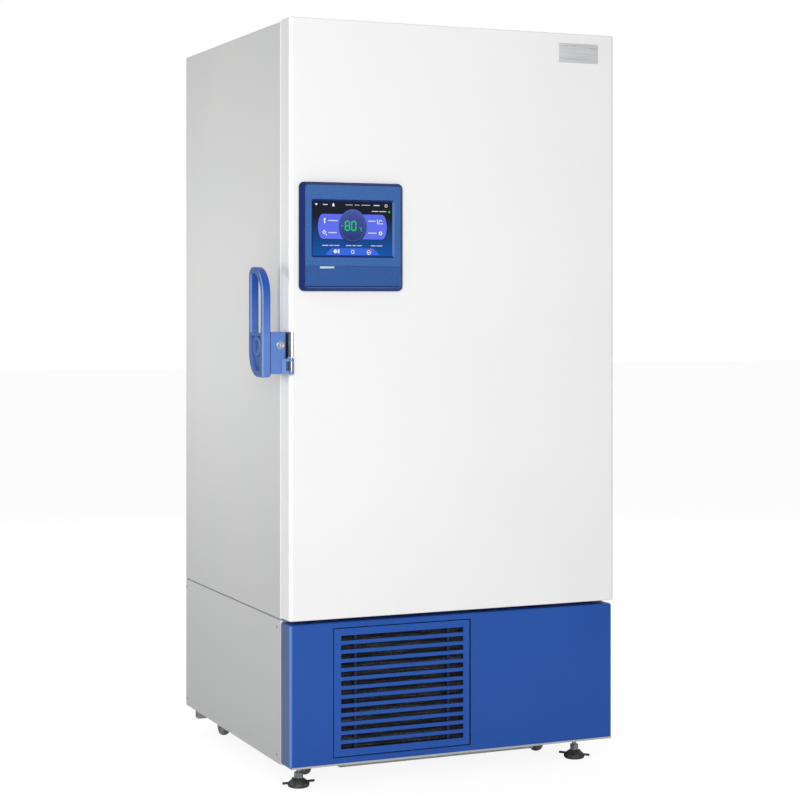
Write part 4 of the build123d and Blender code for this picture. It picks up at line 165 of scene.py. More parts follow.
class Skin:
    """A Principled material under construction, with patterns on Object coordinates."""

    def __init__(self, name: str, colour: str, roughness: float, metallic: float = 0.0) -> None:
        """Start a material with plain values.

        Args:
            name: The material's name.
            colour: The base colour, as sRGB hex.
            roughness: The shader's roughness.
            metallic: The shader's metallic value.
        """
        self.material = bpy.data.materials.new(name)
        self.material.use_nodes = True
        self.tree = self.material.node_tree
        self.shader = self.tree.nodes["Principled BSDF"]
        self.set("Base Color", linear(colour))
        self.set("Roughness", roughness)
        self.set("Metallic", metallic)
        here = add_node(self.tree, "ShaderNodeTexCoord").outputs
        self.place, self.normal = here["Object"], here["Normal"]

    def set(self, name: str, value: float | Colour) -> None:
        """Set one of the shader's inputs to a plain value."""
        self.shader.inputs[name].default_value = value

    def feed(self, name: str, socket: Socket) -> None:
        """Link a socket to one of the shader's inputs."""
        self.tree.links.new(socket, self.shader.inputs[name])

    def part(self, axis: Axis, vector: Socket | None = None) -> Socket:
        """Give one part of a vector, or of the place on the piece where no vector is given."""
        split = add_node(self.tree, "ShaderNodeSeparateXYZ", None, {0: vector or self.place})
        return split.outputs[axis.name]

    def stretched(self, scale: tuple[float, float, float]) -> Socket:
        """Give Object coordinates that are scaled along each axis."""
        node = add_node(self.tree, "ShaderNodeMapping", {"Scale": scale}, {"Vector": self.place})
        return node.outputs["Vector"]

    def noise(self, size_mm: float, detail: float, place: Socket | None = None) -> Socket:
        """Give a noise.

        Args:
            size_mm: About the size of its grain.
            detail: How many finer noises it holds.
            place: The coordinates, or nothing for the place on the piece.

        Returns:
            Its value, from 0 to 1.
        """
        settings = {"Scale": per_mm(size_mm), "Detail": detail}
        node = add_node(self.tree, "ShaderNodeTexNoise", settings, {"Vector": place or self.place})
        return node.outputs["Fac"]

    def cells(self, size_mm: float, feature: str = "F1") -> Socket:
        """Give a cell pattern.

        Args:
            size_mm: About the size of a cell.
            feature: The Voronoi texture's feature.

        Returns:
            The distance from a cell's middle, as a share of its size.
        """
        settings = {"Scale": per_mm(size_mm), "feature": feature}
        node = add_node(self.tree, "ShaderNodeTexVoronoi", settings, {"Vector": self.place})
        return node.outputs["Distance"]

    def ranged(self, value: Socket, low: float, high: float,
               start: float = 0.0, end: float = 1.0) -> Socket:
        """Map a value from start..end to low..high, clamped."""
        settings = {"From Min": start, "From Max": end, "To Min": low, "To Max": high}
        return add_node(self.tree, "ShaderNodeMapRange", settings, {"Value": value}).outputs["Result"]

    def mask(self, value: Socket, start: float, end: float) -> Socket:
        """Give 0 up to start and 1 from end on, where end may also be the lower of the two."""
        return self.ranged(value, 0.0, 1.0, start, end)

    def blend(self, amount: Socket, first: str | Socket, second: str) -> Socket:
        """Mix two colours by a value.

        Args:
            amount: The second colour's share.
            first: The first colour, as sRGB hex or as a socket.
            second: The second colour, as sRGB hex.

        Returns:
            The mixed colour.
        """
        settings: dict[object, object] = {"data_type": "RGBA", MIX_SECOND: linear(second)}
        links = {0: amount}
        if isinstance(first, str):
            settings[MIX_FIRST] = linear(first)
        else:
            links[MIX_FIRST] = first
        return add_node(self.tree, "ShaderNodeMix", settings, links).outputs[MIX_COLOUR]

    def product(self, first: Socket, second: Socket) -> Socket:
        """Multiply two values."""
        node = add_node(self.tree, "ShaderNodeMath", {"operation": "MULTIPLY"}, {0: first, 1: second})
        return node.outputs[0]

    def emboss(self, height: Socket, depth_mm: float, strength: float = 1.0) -> None:
        """Use a height pattern as bump.

        Args:
            height: The pattern.
            depth_mm: How deep it goes where it falls from 1 to 0.
            strength: The share of that slope that the light sees.
        """
        settings = {"Distance": mm(depth_mm), "Strength": strength}
        node = add_node(self.tree, "ShaderNodeBump", settings, {"Height": height})
        self.feed("Normal", node.outputs["Normal"])


@dataclass(frozen=True)
class Finish:
    """A named surface finish.

    Args:
        name: The real material and how it was made.
        colour: Base colour, as sRGB hex.
        roughness: Middle roughness.
    """

    name: str
    colour: str
    roughness: float

    def make(self) -> bpy.types.Material:
        """Build the material.

        Returns:
            The new material.
        """
        raise NotImplementedError

    def swing(self, skin: Skin, value: Socket, change: Span, span: Span = (0.0, 1.0)) -> None:
        """Let a pattern move the roughness about its middle.

        Args:
            skin: The material under construction.
            value: The pattern.
            change: What it adds at its start and at its end.
            span: Pattern values that are its start and its end.
        """
        first, last = (self.roughness + step for step in change)
        skin.feed("Roughness", skin.ranged(value, first, last, *span))


@dataclass(frozen=True)
class StovedEnamel(Finish):
    """Powder enamel stoved on sheet steel: a soft sheen with a faint orange peel.

    Args:
        tint: The tone that the colour drifts to over the sheet.
        drift_mm: Size of the patches in which it drifts.
        drift: Pattern values where a patch begins and where it is full.
        peel_mm: Size of the orange peel.
        peel_depth_mm: Its depth.
        smear_mm: Size of the patches in which the sheen changes.
        sheen: Least and most change of the roughness.
        gloss: Specular level.
        painted_highlight: Painted highlight on the left front folds, where the light falls full on.
        painted_highlight_span: Products of the normal's X and Y where the highlight begins and where it
            is full.
        painted_flank_shade: Painted shade on the faces that turn to the left, or nothing.
        leftward: The normal's X where such a face begins and where it is full.
        low: Painted shade near the floor, which greys the lower sheets, or nothing.
        painted_floor_shade_m: Heights where that painted shade begins and where it is full.
    """

    tint: str = "FFFFFF"
    drift_mm: float = 420.0
    drift: Span = (0.35, 0.65)
    peel_mm: float = 5.0
    peel_depth_mm: float = 0.02
    smear_mm: float = 60.0
    sheen: Span = (-0.04, 0.05)
    gloss: float = 0.5
    painted_highlight: str = "FFFFFF"
    painted_highlight_span: Span = (0.18, 0.42)
    painted_flank_shade: str = ""
    leftward: Span = (-0.8, -0.98)
    low: str = ""
    painted_floor_shade_m: Span = (1.08, 0.10)

    def make(self) -> bpy.types.Material:
        """Build the enamel, with slow drift in its tone, painted shade low down and on left faces, a
        painted highlight on its left front folds and a fine peel.
        """
        skin = Skin(self.name, self.colour, self.roughness)
        skin.set("Specular IOR Level", self.gloss)
        drifted = skin.mask(skin.noise(self.drift_mm, 1.0), *self.drift)
        tone = skin.blend(drifted, self.colour, self.tint)
        # Painted shade: the sheets grey towards the floor.
        if self.low:
            tone = skin.blend(skin.mask(skin.part(Axis.Z), *self.painted_floor_shade_m), tone, self.low)
        across, ahead = skin.part(Axis.X, skin.normal), skin.part(Axis.Y, skin.normal)
        # Painted shade on the faces that turn to the left.
        if self.painted_flank_shade:
            tone = skin.blend(skin.mask(across, *self.leftward), tone, self.painted_flank_shade)
        # Painted highlight on the left front folds, where the light falls full on.
        painted_highlight_mask = skin.mask(skin.product(across, ahead), *self.painted_highlight_span)
        skin.feed("Base Color", skin.blend(painted_highlight_mask, tone, self.painted_highlight))
        self.swing(skin, skin.noise(self.smear_mm, 3.0), self.sheen)
        skin.emboss(skin.noise(self.peel_mm, 2.0), self.peel_depth_mm)
        return skin.material


@dataclass(frozen=True)
class GrainedPlastic(Finish):
    """Plastic moulded in an etched tool: fine pebbled grain, rubbed smoother where it is high.

    Args:
        high: Tone of the grain's tops.
        top: Pattern values where a top begins and where it is full.
        grain_mm: Size of the pebbles.
        grain_depth_mm: Their depth.
        patch: Size of the tops, in pebbles.
        rubbed: Change of the roughness on a pebble's middle and in the grooves.
        pebble: Pattern values of that middle and of the grooves.
        relief: Strength of the bump.
        gloss: Specular level.
    """

    high: str = "FFFFFF"
    top: Span = (0.30, 0.70)
    grain_mm: float = 2.2
    grain_depth_mm: float = 0.10
    patch: float = 1.4
    rubbed: Span = (0.06, -0.06)
    pebble: Span = (0.1, 0.7)
    relief: float = 0.6
    gloss: float = 0.5

    def make(self) -> bpy.types.Material:
        """Build the plastic, with grain in its bump, tone and roughness."""
        skin = Skin(self.name, self.colour, self.roughness)
        skin.set("Specular IOR Level", self.gloss)
        grain = skin.cells(self.grain_mm, "SMOOTH_F1")
        top = skin.mask(skin.noise(self.grain_mm * self.patch, 3.0), *self.top)
        skin.feed("Base Color", self.tone(skin, skin.blend(top, self.colour, self.high)))
        self.swing(skin, grain, self.rubbed, self.pebble)
        skin.emboss(grain, self.grain_depth_mm, self.relief)
        return skin.material

    def tone(self, skin: Skin, colour: Socket) -> Socket:
        """Give the tone over the moulding: even, unless a kind of plastic says otherwise.

        Args:
            skin: The material under construction.
            colour: The grained colour.

        Returns:
            The colour that the piece gets.
        """
        return colour


@dataclass(frozen=True)
class HandNylon(GrainedPlastic):
    """Nylon of a lever that the hand grips, with painted highlights on its left front edges and lower
    grip, and painted shade on its sides.

    Args:
        painted_highlight: Painted highlight on the left front edges.
        side: Painted shade on the faces that turn to the left.
        sideways: The normal's X where such a face begins and where it is full.
        edge_in: The normal's X where an edge begins and where it is full.
        edge_out: The normal's X where it ends and where it is still full.
        forward: The normal's Y where an edge begins to face the front and where it does.
        painted_foot_light: Painted highlight on the lower grip.
        painted_foot_light_m: Heights where that highlight begins and where it is full.
    """

    painted_highlight: str = "7F9EDD"
    side: str = "3A5E9E"
    sideways: Span = (-0.62, -0.95)
    edge_in: Span = (-0.12, -0.40)
    edge_out: Span = (-0.9, -0.6)
    forward: Span = (-0.3, -0.5)
    painted_foot_light: str = "5B80C6"
    painted_foot_light_m: Span = (1.0, 0.0)

    def tone(self, skin: Skin, colour: Socket) -> Socket:
        """Paint a highlight on the lower grip, shade on the left-facing sides and highlights on the left
        front edges.
        """
        across, ahead = skin.part(Axis.X, skin.normal), skin.part(Axis.Y, skin.normal)
        # Painted highlight on the lower grip.
        with_foot_light = skin.blend(skin.mask(skin.part(Axis.Z), *self.painted_foot_light_m), colour, self.painted_foot_light)
        # Painted shade on the faces that turn to the left.
        flat = skin.blend(skin.mask(across, *self.sideways), with_foot_light, self.side)
        # Painted highlight on the left front edges, where the light catches them.
        edge = skin.product(skin.mask(across, *self.edge_in), skin.mask(across, *self.edge_out))
        return skin.blend(skin.product(edge, skin.mask(ahead, *self.forward)), flat, self.painted_highlight)


@dataclass(frozen=True)
class DeepPlastic(GrainedPlastic):
    """Plastic of a moulding with a recessed back, darkened there by painted shade.

    Args:
        painted_recess_shade: Painted shade on the back.
        painted_recess_shade_m: Places along Y where it begins and where it is full.
    """

    painted_recess_shade: str = "101C44"
    painted_recess_shade_m: Span = (0.0, 1.0)

    def tone(self, skin: Skin, colour: Socket) -> Socket:
        """Paint shade on the colour between two depths along Y."""
        return skin.blend(skin.mask(skin.part(Axis.Y), *self.painted_recess_shade_m), colour, self.painted_recess_shade)


@dataclass(frozen=True)
class BezelPlastic(GrainedPlastic):
    """Plastic of the panel's bezel: painted navy shade where it turns away, a painted highlight on the
    recess wall in the light.

    Args:
        painted_edge_shade: Painted shade on the sides that turn away.
        painted_edge_shade_span: The normal's Y where such a side begins and where it is full.
        lit: Painted highlight on the walls that face left beyond the middle.
        leftward: The normal's X where such a wall begins and where it is full.
        middle_m: The panel's middle along X.
    """

    painted_edge_shade: str = "12296C"
    painted_edge_shade_span: Span = (-0.97, -0.72)
    lit: str = "6E92D2"
    leftward: Span = (-0.3, -0.9)
    middle_m: float = 0.0

    def tone(self, skin: Skin, colour: Socket) -> Socket:
        """Paint shade on the sides, and paint a highlight on the walls that face left beyond the panel's
        middle.
        """
        # Painted shade on the sides that turn away, painted highlight on the left walls beyond the
        # middle.
        away = skin.blend(skin.mask(skin.part(Axis.Y, skin.normal), *self.painted_edge_shade_span), colour, self.painted_edge_shade)
        beyond = skin.mask(skin.part(Axis.X), self.middle_m, self.middle_m + mm(1.0))
        facing = skin.mask(skin.part(Axis.X, skin.normal), *self.leftward)
        return skin.blend(skin.product(facing, beyond), away, self.lit)


@dataclass(frozen=True)
class BrushedSteel(Finish):
    """Ground sheet: long fine scratches along one axis.

    Args:
        along: The way that the scratches run.
        metal: Metallic value, lower where a lacquer or a dull grind scatters the light.
        dark: Tone at the scratches' bottoms.
        bottom: Pattern values from a scratch's bottom up to the bare sheet.
        scratch_mm: Width of a scratch.
        length_mm: Length of a scratch.
        depth_mm: Depth of a scratch.
        relief: Strength of the bump.
        sheen: Change of the roughness in a scratch and beside it.
        sheen_span: Pattern values of the two.
    """

    along: Axis = Axis.Z
    metal: float = 1.0
    dark: str = "8E9092"
    bottom: Span = (0.32, 0.68)
    scratch_mm: float = 1.6
    length_mm: float = 90.0
    depth_mm: float = 0.03
    relief: float = 0.5
    sheen: Span = (-0.08, 0.12)
    sheen_span: Span = (0.3, 0.7)

    def make(self) -> bpy.types.Material:
        """Build the steel, with its scratches in tone, roughness and bump."""
        skin = Skin(self.name, self.colour, self.roughness, self.metal)
        scale = self.along.vector(self.scratch_mm / self.length_mm, 1.0)
        scratch = skin.noise(self.scratch_mm, 4.0, skin.stretched(scale))
        skin.feed("Base Color", skin.blend(skin.mask(scratch, *self.bottom), self.dark, self.colour))
        self.swing(skin, scratch, self.sheen, self.sheen_span)
        skin.emboss(scratch, self.depth_mm, self.relief)
        return skin.material


@dataclass(frozen=True)
class Grain:
    """A pattern of one size: noise of some detail, or cells where the detail is 0."""

    size_mm: float
    detail: float = 0.0

    def on(self, skin: Skin) -> Socket:
        """Lay the pattern on a skin."""
        return skin.noise(self.size_mm, self.detail) if self.detail else skin.cells(self.size_mm)


@dataclass(frozen=True)
class Mottled(Finish):
    """A finish with patches of a second tone, over a fine relief.

    Args:
        second: The patches' tone.
        patch: The patches' pattern.
        span: Pattern values where a patch begins and where it is full.
        most: Share of the second tone in a full patch.
        metal: Metallic value.
        gloss: Least and most change of the roughness, or nothing for an even gloss.
        smear: The gloss's own pattern, where it doesn't follow the patches.
        relief: The relief's pattern, or nothing for a smooth face.
        relief_mm: The relief's depth.
        relief_strength: The relief's strength.
    """

    second: str = "808080"
    patch: Grain = Grain(40.0, 4.0)
    span: Span = (0.45, 0.75)
    most: float = 1.0
    metal: float = 0.0
    gloss: Span | None = None
    smear: Grain | None = None
    relief: Grain | None = None
    relief_mm: float = 0.0
    relief_strength: float = 1.0

    def make(self) -> bpy.types.Material:
        """Build the finish, with its patches in tone and gloss."""
        skin = Skin(self.name, self.colour, self.roughness, self.metal)
        patch = skin.ranged(self.patch.on(skin), 0.0, self.most, *self.span)
        skin.feed("Base Color", skin.blend(patch, self.colour, self.second))
        if self.gloss:
            self.swing(skin, self.smear.on(skin) if self.smear else patch, self.gloss)
        if self.relief:
            skin.emboss(self.relief.on(skin), self.relief_mm, self.relief_strength)
        return skin.material


def stained_metal(name: str, colour: str, roughness: float, dull: str) -> Mottled:
    """Give a smooth metal with faint stains, such as chrome, drawn copper or aluminium."""
    return Mottled(name, colour, roughness, dull, most=0.7, metal=1.0, gloss=(0.0, 0.15))


def moulded_rubber(name: str, colour: str, roughness: float, bloom: str,
                   speck_mm: float = 3.0) -> Mottled:
    """Give a matt rubber.

    Args:
        name: The finish's name.
        colour: Base colour, as sRGB hex.
        roughness: Middle roughness.
        bloom: Tone of the soft bloom, whose patches are six specks wide.
        speck_mm: Size of the dusty relief.

    Returns:
        The finish.
    """
    return Mottled(name, colour, roughness, bloom, patch=Grain(speck_mm * 6.0, 4.0), span=(0.4, 0.8),
                   relief=Grain(speck_mm, 3.0), relief_mm=0.08, relief_strength=0.6)


@dataclass(frozen=True)
class FilterWeb(Finish):
    """Coated filter mesh: near black, with pale thread crossings that catch the light in loose rows.

    Args:
        thread: Tone of a crossing in the light.
        row_mm: Height of a row.
        row_reach: Scale of the pattern along a row, as a share of the scale across it.
        row_span: Pattern values of a dull row and of a lit one.
        row_least: Share of the light that a dull row still gets.
        mesh_mm: Distance between crossings, coarser than the real mesh so that it shows.
        crossing: Distances from a crossing where its dot ends and where it is full.
        relief_mm: Height of a crossing.
        relief: Strength of the bump.
    """

    thread: str = "8E8E90"
    row_mm: float = 5.0
    row_reach: float = 0.06
    row_span: Span = (0.45, 0.65)
    row_least: float = 0.15
    mesh_mm: float = 2.0
    crossing: Span = (0.55, 0.10)
    relief_mm: float = 0.3
    relief: float = 0.6

    def make(self) -> bpy.types.Material:
        """Build the mesh, with a pale dot at each crossing and rows that run along X."""
        skin = Skin(self.name, self.colour, self.roughness)
        row = skin.noise(self.row_mm, 1.0, skin.stretched((self.row_reach, 1.0, 1.0)))
        dot = skin.mask(skin.cells(self.mesh_mm), *self.crossing)
        caught = skin.product(skin.ranged(row, self.row_least, 1.0, *self.row_span), dot)
        skin.feed("Base Color", skin.blend(caught, self.colour, self.thread))
        skin.emboss(dot, self.relief_mm, self.relief)
        return skin.material


@dataclass(frozen=True)
class Backlit(Finish):
    """A lit layer of the display behind glass, whose tone drifts from its top to its bottom.

    Args:
        foot: Tone at the bottom.
        glow: Emission strength.
        fade_m: Heights where the drift begins and where it ends.
        unlit: Colour of the face itself.
        gloss: Specular level.
        smear: How much finger marks dull the glass.
        smear_mm: Size of a finger mark.
    """

    foot: str = "FFFFFF"
    glow: float = 0.8
    fade_m: Span = (1.0, 0.0)
    unlit: str = "020304"
    gloss: float = 0.08
    smear: float = 0.0
    smear_mm: float = 30.0

    def make(self) -> bpy.types.Material:
        """Build the layer: a near black face with little sheen, and the tone as its own light."""
        skin = Skin(self.name, self.unlit, self.roughness)
        fade = skin.mask(skin.part(Axis.Z), *self.fade_m)
        skin.feed("Emission Color", skin.blend(fade, self.colour, self.foot))
        skin.set("Emission Strength", self.glow)
        skin.set("Specular IOR Level", self.gloss)
        if self.smear:
            self.swing(skin, skin.noise(self.smear_mm, 3.0), (0.0, self.smear))
        return skin.material


class Draft:
    """A mesh under construction, in millimetres, that ends as one object in metres."""

    def __init__(self) -> None:
        """Start an empty mesh."""
        self.mesh = bmesh.new()

    def slab(self, low: Sequence[float], high: Sequence[float], edge: float, steps: int = 2) -> None:
        """Add a box between two corners, with rounded edges.

        Args:
            low: Lowest corner.
            high: Highest corner.
            edge: Radius of the edges.
            steps: Facets round each edge.
        """
        size = Vector(high) - Vector(low)
        middle = (Vector(high) + Vector(low)) / 2
        frame = Matrix.Translation(middle) @ Matrix.Diagonal((*size, 1.0))
        made = bmesh.ops.create_cube(self.mesh, size=1.0, matrix=frame)
        edges = list({one for vert in made["verts"] for one in vert.link_edges})
        bmesh.ops.bevel(self.mesh, geom=edges, offset=edge, segments=steps, profile=0.5, affect="EDGES")

    def plate(self, outline: Sequence[Flat], front: float, depth: float) -> None:
        """Add a flat plate in the XZ plane.

        Args:
            outline: Corners as X and Z, seen from the front, anticlockwise.
            front: Y of the front face.
            depth: Thickness towards +Y.
        """
        near = [self.mesh.verts.new((x, front, z)) for x, z in outline]
        far = [self.mesh.verts.new((x, front + depth, z)) for x, z in outline]
        self.mesh.faces.new(near)
        self.mesh.faces.new(list(reversed(far)))
        count = len(outline)
        for index in range(count):
            after = (index + 1) % count
            self.mesh.faces.new((near[after], near[index], far[index], far[after]))

    def ring(self, outer: Sequence[Flat], inner: Sequence[Flat], front: float, depth: float) -> None:
        """Add a flat ring in the XZ plane.

        Args:
            outer: Its outer corners as X and Z.
            inner: As many inner corners.
            front: Y of the front face.
            depth: Thickness towards +Y.
        """
        back = front + depth
        rows = [[self.mesh.verts.new((x, y, z)) for x, z in line]
                for line, y in ((outer, front), (inner, front), (inner, back), (outer, back))]
        count = len(outer)
        for first, second in zip(rows, rows[1:] + rows[:1]):
            for index in range(count):
                after = (index + 1) % count
                self.mesh.faces.new((first[index], first[after], second[after], second[index]))

    def finished(self, name: str, material: bpy.types.Material) -> bpy.types.Object:
        """Close the mesh, turn it to metres and make it an object.

        Args:
            name: The piece's name.
            material: Its finish.

        Returns:
            The new object, linked to the scene.
        """
        bmesh.ops.remove_doubles(self.mesh, verts=self.mesh.verts, dist=WELD_MM)
        bmesh.ops.recalc_face_normals(self.mesh, faces=self.mesh.faces)
        bmesh.ops.transform(self.mesh, matrix=Matrix.Scale(mm(1.0), 4), verts=self.mesh.verts)
        data = bpy.data.meshes.new(name)
        self.mesh.to_mesh(data)
        self.mesh.free()
        data.materials.append(material)
        soften(data)
        made = bpy.data.objects.new(name, data)
        bpy.context.scene.collection.objects.link(made)
        return made


def soften(data: bpy.types.Mesh) -> None:
    """Shade a mesh smooth and keep its sharp edges."""
    data.shade_smooth()
    data.set_sharp_from_angle(angle=math.radians(SHARP_DEG))


def rounded(x0: float, x1: float, z0: float, z1: float, radius: float, steps: int) -> list[Flat]:
    """Give a rounded rectangle's outline.

    Args:
        x0: Left side.
        x1: Right side.
        z0: Bottom.
        z1: Top.
        radius: Corner radius.
        steps: Facets in each corner.

    Returns:
        Corners as X and Z.
    """
    corners = ((x1 - radius, z0 + radius, -90), (x1 - radius, z1 - radius, 0),
               (x0 + radius, z1 - radius, 90), (x0 + radius, z0 + radius, 180))
    line = []
    for x, z, start in corners:
        for step in range(steps + 1):
            turn = math.radians(start + 90 * step / steps)
            line.append((x + radius * math.cos(turn), z + radius * math.sin(turn)))
    return line


def oval(x: float, z: float, half_x: float, half_z: float, sides: int) -> list[Flat]:
    """Give an ellipse's outline, or a regular polygon's when sides is small."""
    turns = [2 * math.pi * index / sides for index in range(sides)]
    return [(x + half_x * math.cos(turn), z + half_z * math.sin(turn)) for turn in turns]


class GrowTree:
    """A Geometry Nodes tree with named inputs, which makes what repeats or follows a path."""

    def __init__(self, name: str) -> None:
        """Start a tree with a geometry input and output.

        Args:
            name: The tree's name.
        """
        self.tree = bpy.data.node_groups.new(name, "GeometryNodeTree")
        face = self.tree.interface
        face.new_socket("Geometry", in_out="INPUT", socket_type="NodeSocketGeometry")
        face.new_socket("Geometry", in_out="OUTPUT", socket_type="NodeSocketGeometry")
        self.source = add_node(self.tree, "NodeGroupInput")
        self.keys: dict[str, str] = {}

    def wish(self, **kinds: str) -> list[Socket]:
        """Add named inputs.

        Args:
            kinds: Each input's name, with the end of its socket's type name.

        Returns:
            Their sockets inside the tree.
        """
        for name, kind in kinds.items():
            wished = self.tree.interface.new_socket(name, in_out="INPUT", socket_type="NodeSocket" + kind)
            self.keys[name] = wished.identifier
        return [self.source.outputs[name] for name in kinds]

    def close(self, geometry: Socket, material: Socket) -> GrowTree:
        """End the tree in Realize Instances and Set Material.

        Args:
            geometry: What the tree makes.
            material: The material that all of it gets.

        Returns:
            The tree itself.
        """
        whole = add_node(self.tree, "GeometryNodeRealizeInstances", None, {"Geometry": geometry})
        coated = add_node(self.tree, "GeometryNodeSetMaterial", None,
                          {"Geometry": whole.outputs["Geometry"], "Material": material})
        add_node(self.tree, "NodeGroupOutput", None, {"Geometry": coated.outputs["Geometry"]})
        return self

    def grow(self, name: str, carrier: bpy.types.Mesh,
             values: Mapping[str, object]) -> bpy.types.Object:
        """Run the tree on a carrier mesh and keep the result as a plain mesh.

        Args:
            name: The piece's name.
            carrier: The mesh that the tree works on.
            values: The tree's inputs by name.

        Returns:
            The new object, without a modifier.
        """
        host = bpy.data.objects.new(name, carrier)
        bpy.context.scene.collection.objects.link(host)
        modifier = host.modifiers.new("grow", "NODES")
        modifier.node_group = self.tree
        for key, value in values.items():
            modifier[self.keys[key]] = value
        graph = bpy.context.evaluated_depsgraph_get()
        data = bpy.data.meshes.new_from_object(host.evaluated_get(graph))
        host.modifiers.remove(modifier)
        host.data = data
        bpy.data.meshes.remove(carrier)
        soften(data)
        return host


def carrier_mesh(points: Sequence[Sequence[float]], closed: bool = False) -> bpy.types.Mesh:
    """Make a mesh of loose points, or of one closed loop, from millimetre points.

    Args:
        points: The points.
        closed: Whether edges join them into a loop.

    Returns:
        The new mesh, in metres.
    """
    data = bpy.data.meshes.new("carrier")
    count = len(points)
    edges = [(index, (index + 1) % count) for index in range(count)] if closed else []
    data.from_pydata([tuple(mm(value) for value in point) for point in points], edges, [])
    return data


def screw_tree() -> GrowTree:
    """Make the tree that puts a pan-head screw with a hex socket on each point of the carrier.

    Returns:
        The tree, with the inputs Radius, Height, Turn and Finish.
    """
    grower = GrowTree("pan head screws")
    radius, height, turn, finish = grower.wish(Radius="Float", Height="Float", Turn="Vector",
                                               Finish="Material")
    tree = grower.tree
    ball = add_node(tree, "GeometryNodeMeshUVSphere", {"Segments": 20, "Rings": 10, "Radius": 1.0})
    size = add_node(tree, "ShaderNodeCombineXYZ", None, {"X": radius, "Y": radius, "Z": height})
    head = add_node(tree, "GeometryNodeTransform", None,
                    {"Geometry": ball.outputs["Mesh"], "Scale": size.outputs["Vector"]})
    bore = add_node(tree, "ShaderNodeMath", {"operation": "MULTIPLY", 1: SOCKET_SHARE}, {0: radius})
    hole = add_node(tree, "GeometryNodeMeshCylinder", {"Vertices": 6},
                    {"Radius": bore.outputs[0], "Depth": height})
    lift = add_node(tree, "ShaderNodeCombineXYZ", None, {"Z": height})
    socket = add_node(tree, "GeometryNodeTransform", None,
                      {"Geometry": hole.outputs["Mesh"], "Translation": lift.outputs["Vector"]})
    cut = add_node(tree, "GeometryNodeMeshBoolean", {"operation": "DIFFERENCE"},
                   {0: head.outputs["Geometry"], 1: socket.outputs["Geometry"]})
    euler = add_node(tree, "FunctionNodeEulerToRotation", None, {0: turn})
    placed = add_node(tree, "GeometryNodeInstanceOnPoints", None,
                      {"Points": grower.source.outputs["Geometry"], "Instance": cut.outputs["Mesh"],
                       "Rotation": euler.outputs[0]})
    return grower.close(placed.outputs["Instances"], finish)


def frame_tree() -> GrowTree:
    """Make the tree that sweeps the carrier's closed loop round a rounded rectangle in XZ.

    Returns:
        The tree, with the inputs Width, Height, Corner, Place and Finish.
    """
    grower = GrowTree("swept frame")
    width, height, corner, place, finish = grower.wish(Width="Float", Height="Float", Corner="Float",
                                                       Place="Vector", Finish="Material")
    tree = grower.tree
    loop = add_node(tree, "GeometryNodeCurvePrimitiveQuadrilateral", {"mode": "RECTANGLE"},
                    {"Width": width, "Height": height})
    bent = add_node(tree, "GeometryNodeFilletCurve", {"mode": "POLY", "Count": 6},
                    {"Curve": loop.outputs["Curve"], "Radius": corner})
    section = add_node(tree, "GeometryNodeMeshToCurve", None,
                       {"Mesh": grower.source.outputs["Geometry"]})
    swept = add_node(tree, "GeometryNodeCurveToMesh", None,
                     {"Curve": bent.outputs["Curve"], "Profile Curve": section.outputs["Curve"]})
    upright = add_node(tree, "GeometryNodeTransform", {"Rotation": (math.pi / 2, 0.0, 0.0)},
                       {"Geometry": swept.outputs["Mesh"], "Translation": place})
    return grower.close(upright.outputs["Geometry"], finish)


@dataclass(frozen=True)
class Extent:
    """A node's box at rest, in millimetres."""

    left: float
    right: float
    front: float
    back: float
    bottom: float
    top: float

    @classmethod
    def of(cls, node: str) -> Extent:
        """Read a node's box from the frame.

        Args:
            node: The node's name.

        Returns:
            Its box.
        """
        low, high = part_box(node)
        return cls(*(MM_PER_M * value for value in (low.x, high.x, low.y, high.y, low.z, high.z)))

    @property
    def middle_x(self) -> float:
        """The box's middle from side to side."""
        return (self.left + self.right) / 2

    @property
    def middle_z(self) -> float:
        """The box's middle height."""
        return (self.bottom + self.top) / 2

    @property
    def width(self) -> float:
        """The box's width."""
        return self.right - self.left

    @property
    def height(self) -> float:
        """The box's height."""
        return self.top - self.bottom


class Workshop:
    """Holds the frame's nodes, the finishes that are made and the shared trees."""

    def __init__(self, frame: Mapping[str, object]) -> None:
        """Keep the frame and make the shared trees.
        """
        self.nodes: dict[str, bpy.types.Object] = frame["nodes"]
        self.made: dict[str, bpy.types.Material] = {}
        self.screws = screw_tree()
        self.frames = frame_tree()

    def finish(self, finish: Finish) -> bpy.types.Material:
        """Make a finish's material, or give the one that is made.

        Args:
            finish: The finish.

        Returns:
            Its material.
        """
        if finish.name not in self.made:
            self.made[finish.name] = finish.make()
        return self.made[finish.name]

    def coat(self, finish: Finish, *names: str) -> None:
        """Give frame nodes a finish.

        Args:
            finish: The finish.
            names: The nodes.
        """
        material = self.finish(finish)
        for name in names:
            slots = self.nodes[name].data.materials
            slots.clear()
            slots.append(material)
            LOG.info("coated %s with %s", name, finish.name)

    def fit(self, piece: bpy.types.Object, body: str) -> bpy.types.Object:
        """Let a new piece ride on a body.

        Args:
            piece: The new piece.
            body: The body.

        Returns:
            The same piece.
        """
        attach(piece, body)
        LOG.info("fitted %s on %s, %d faces", piece.name, body, len(piece.data.polygons))
        return piece

    def screw_row(self, name: str, points: Sequence[Sequence[float]], turn_deg: Sequence[float],
                  radius: float, body: str) -> bpy.types.Object:
        """Put a zinc plated pan-head screw on each point.

        Args:
            name: The piece's name.
            points: Places of the heads' undersides, in millimetres.
            turn_deg: Euler angles that turn +Z to the way the heads face.
            radius: Head radius in millimetres.
            body: The body that carries them.

        Returns:
            The finished piece.
        """
        values = {"Radius": mm(radius), "Height": mm(radius * HEAD_RISE), "Finish": self.finish(ZINC),
                  "Turn": tuple(math.radians(angle) for angle in turn_deg)}
        return self.fit(self.screws.grow(name, carrier_mesh(points), values), body)


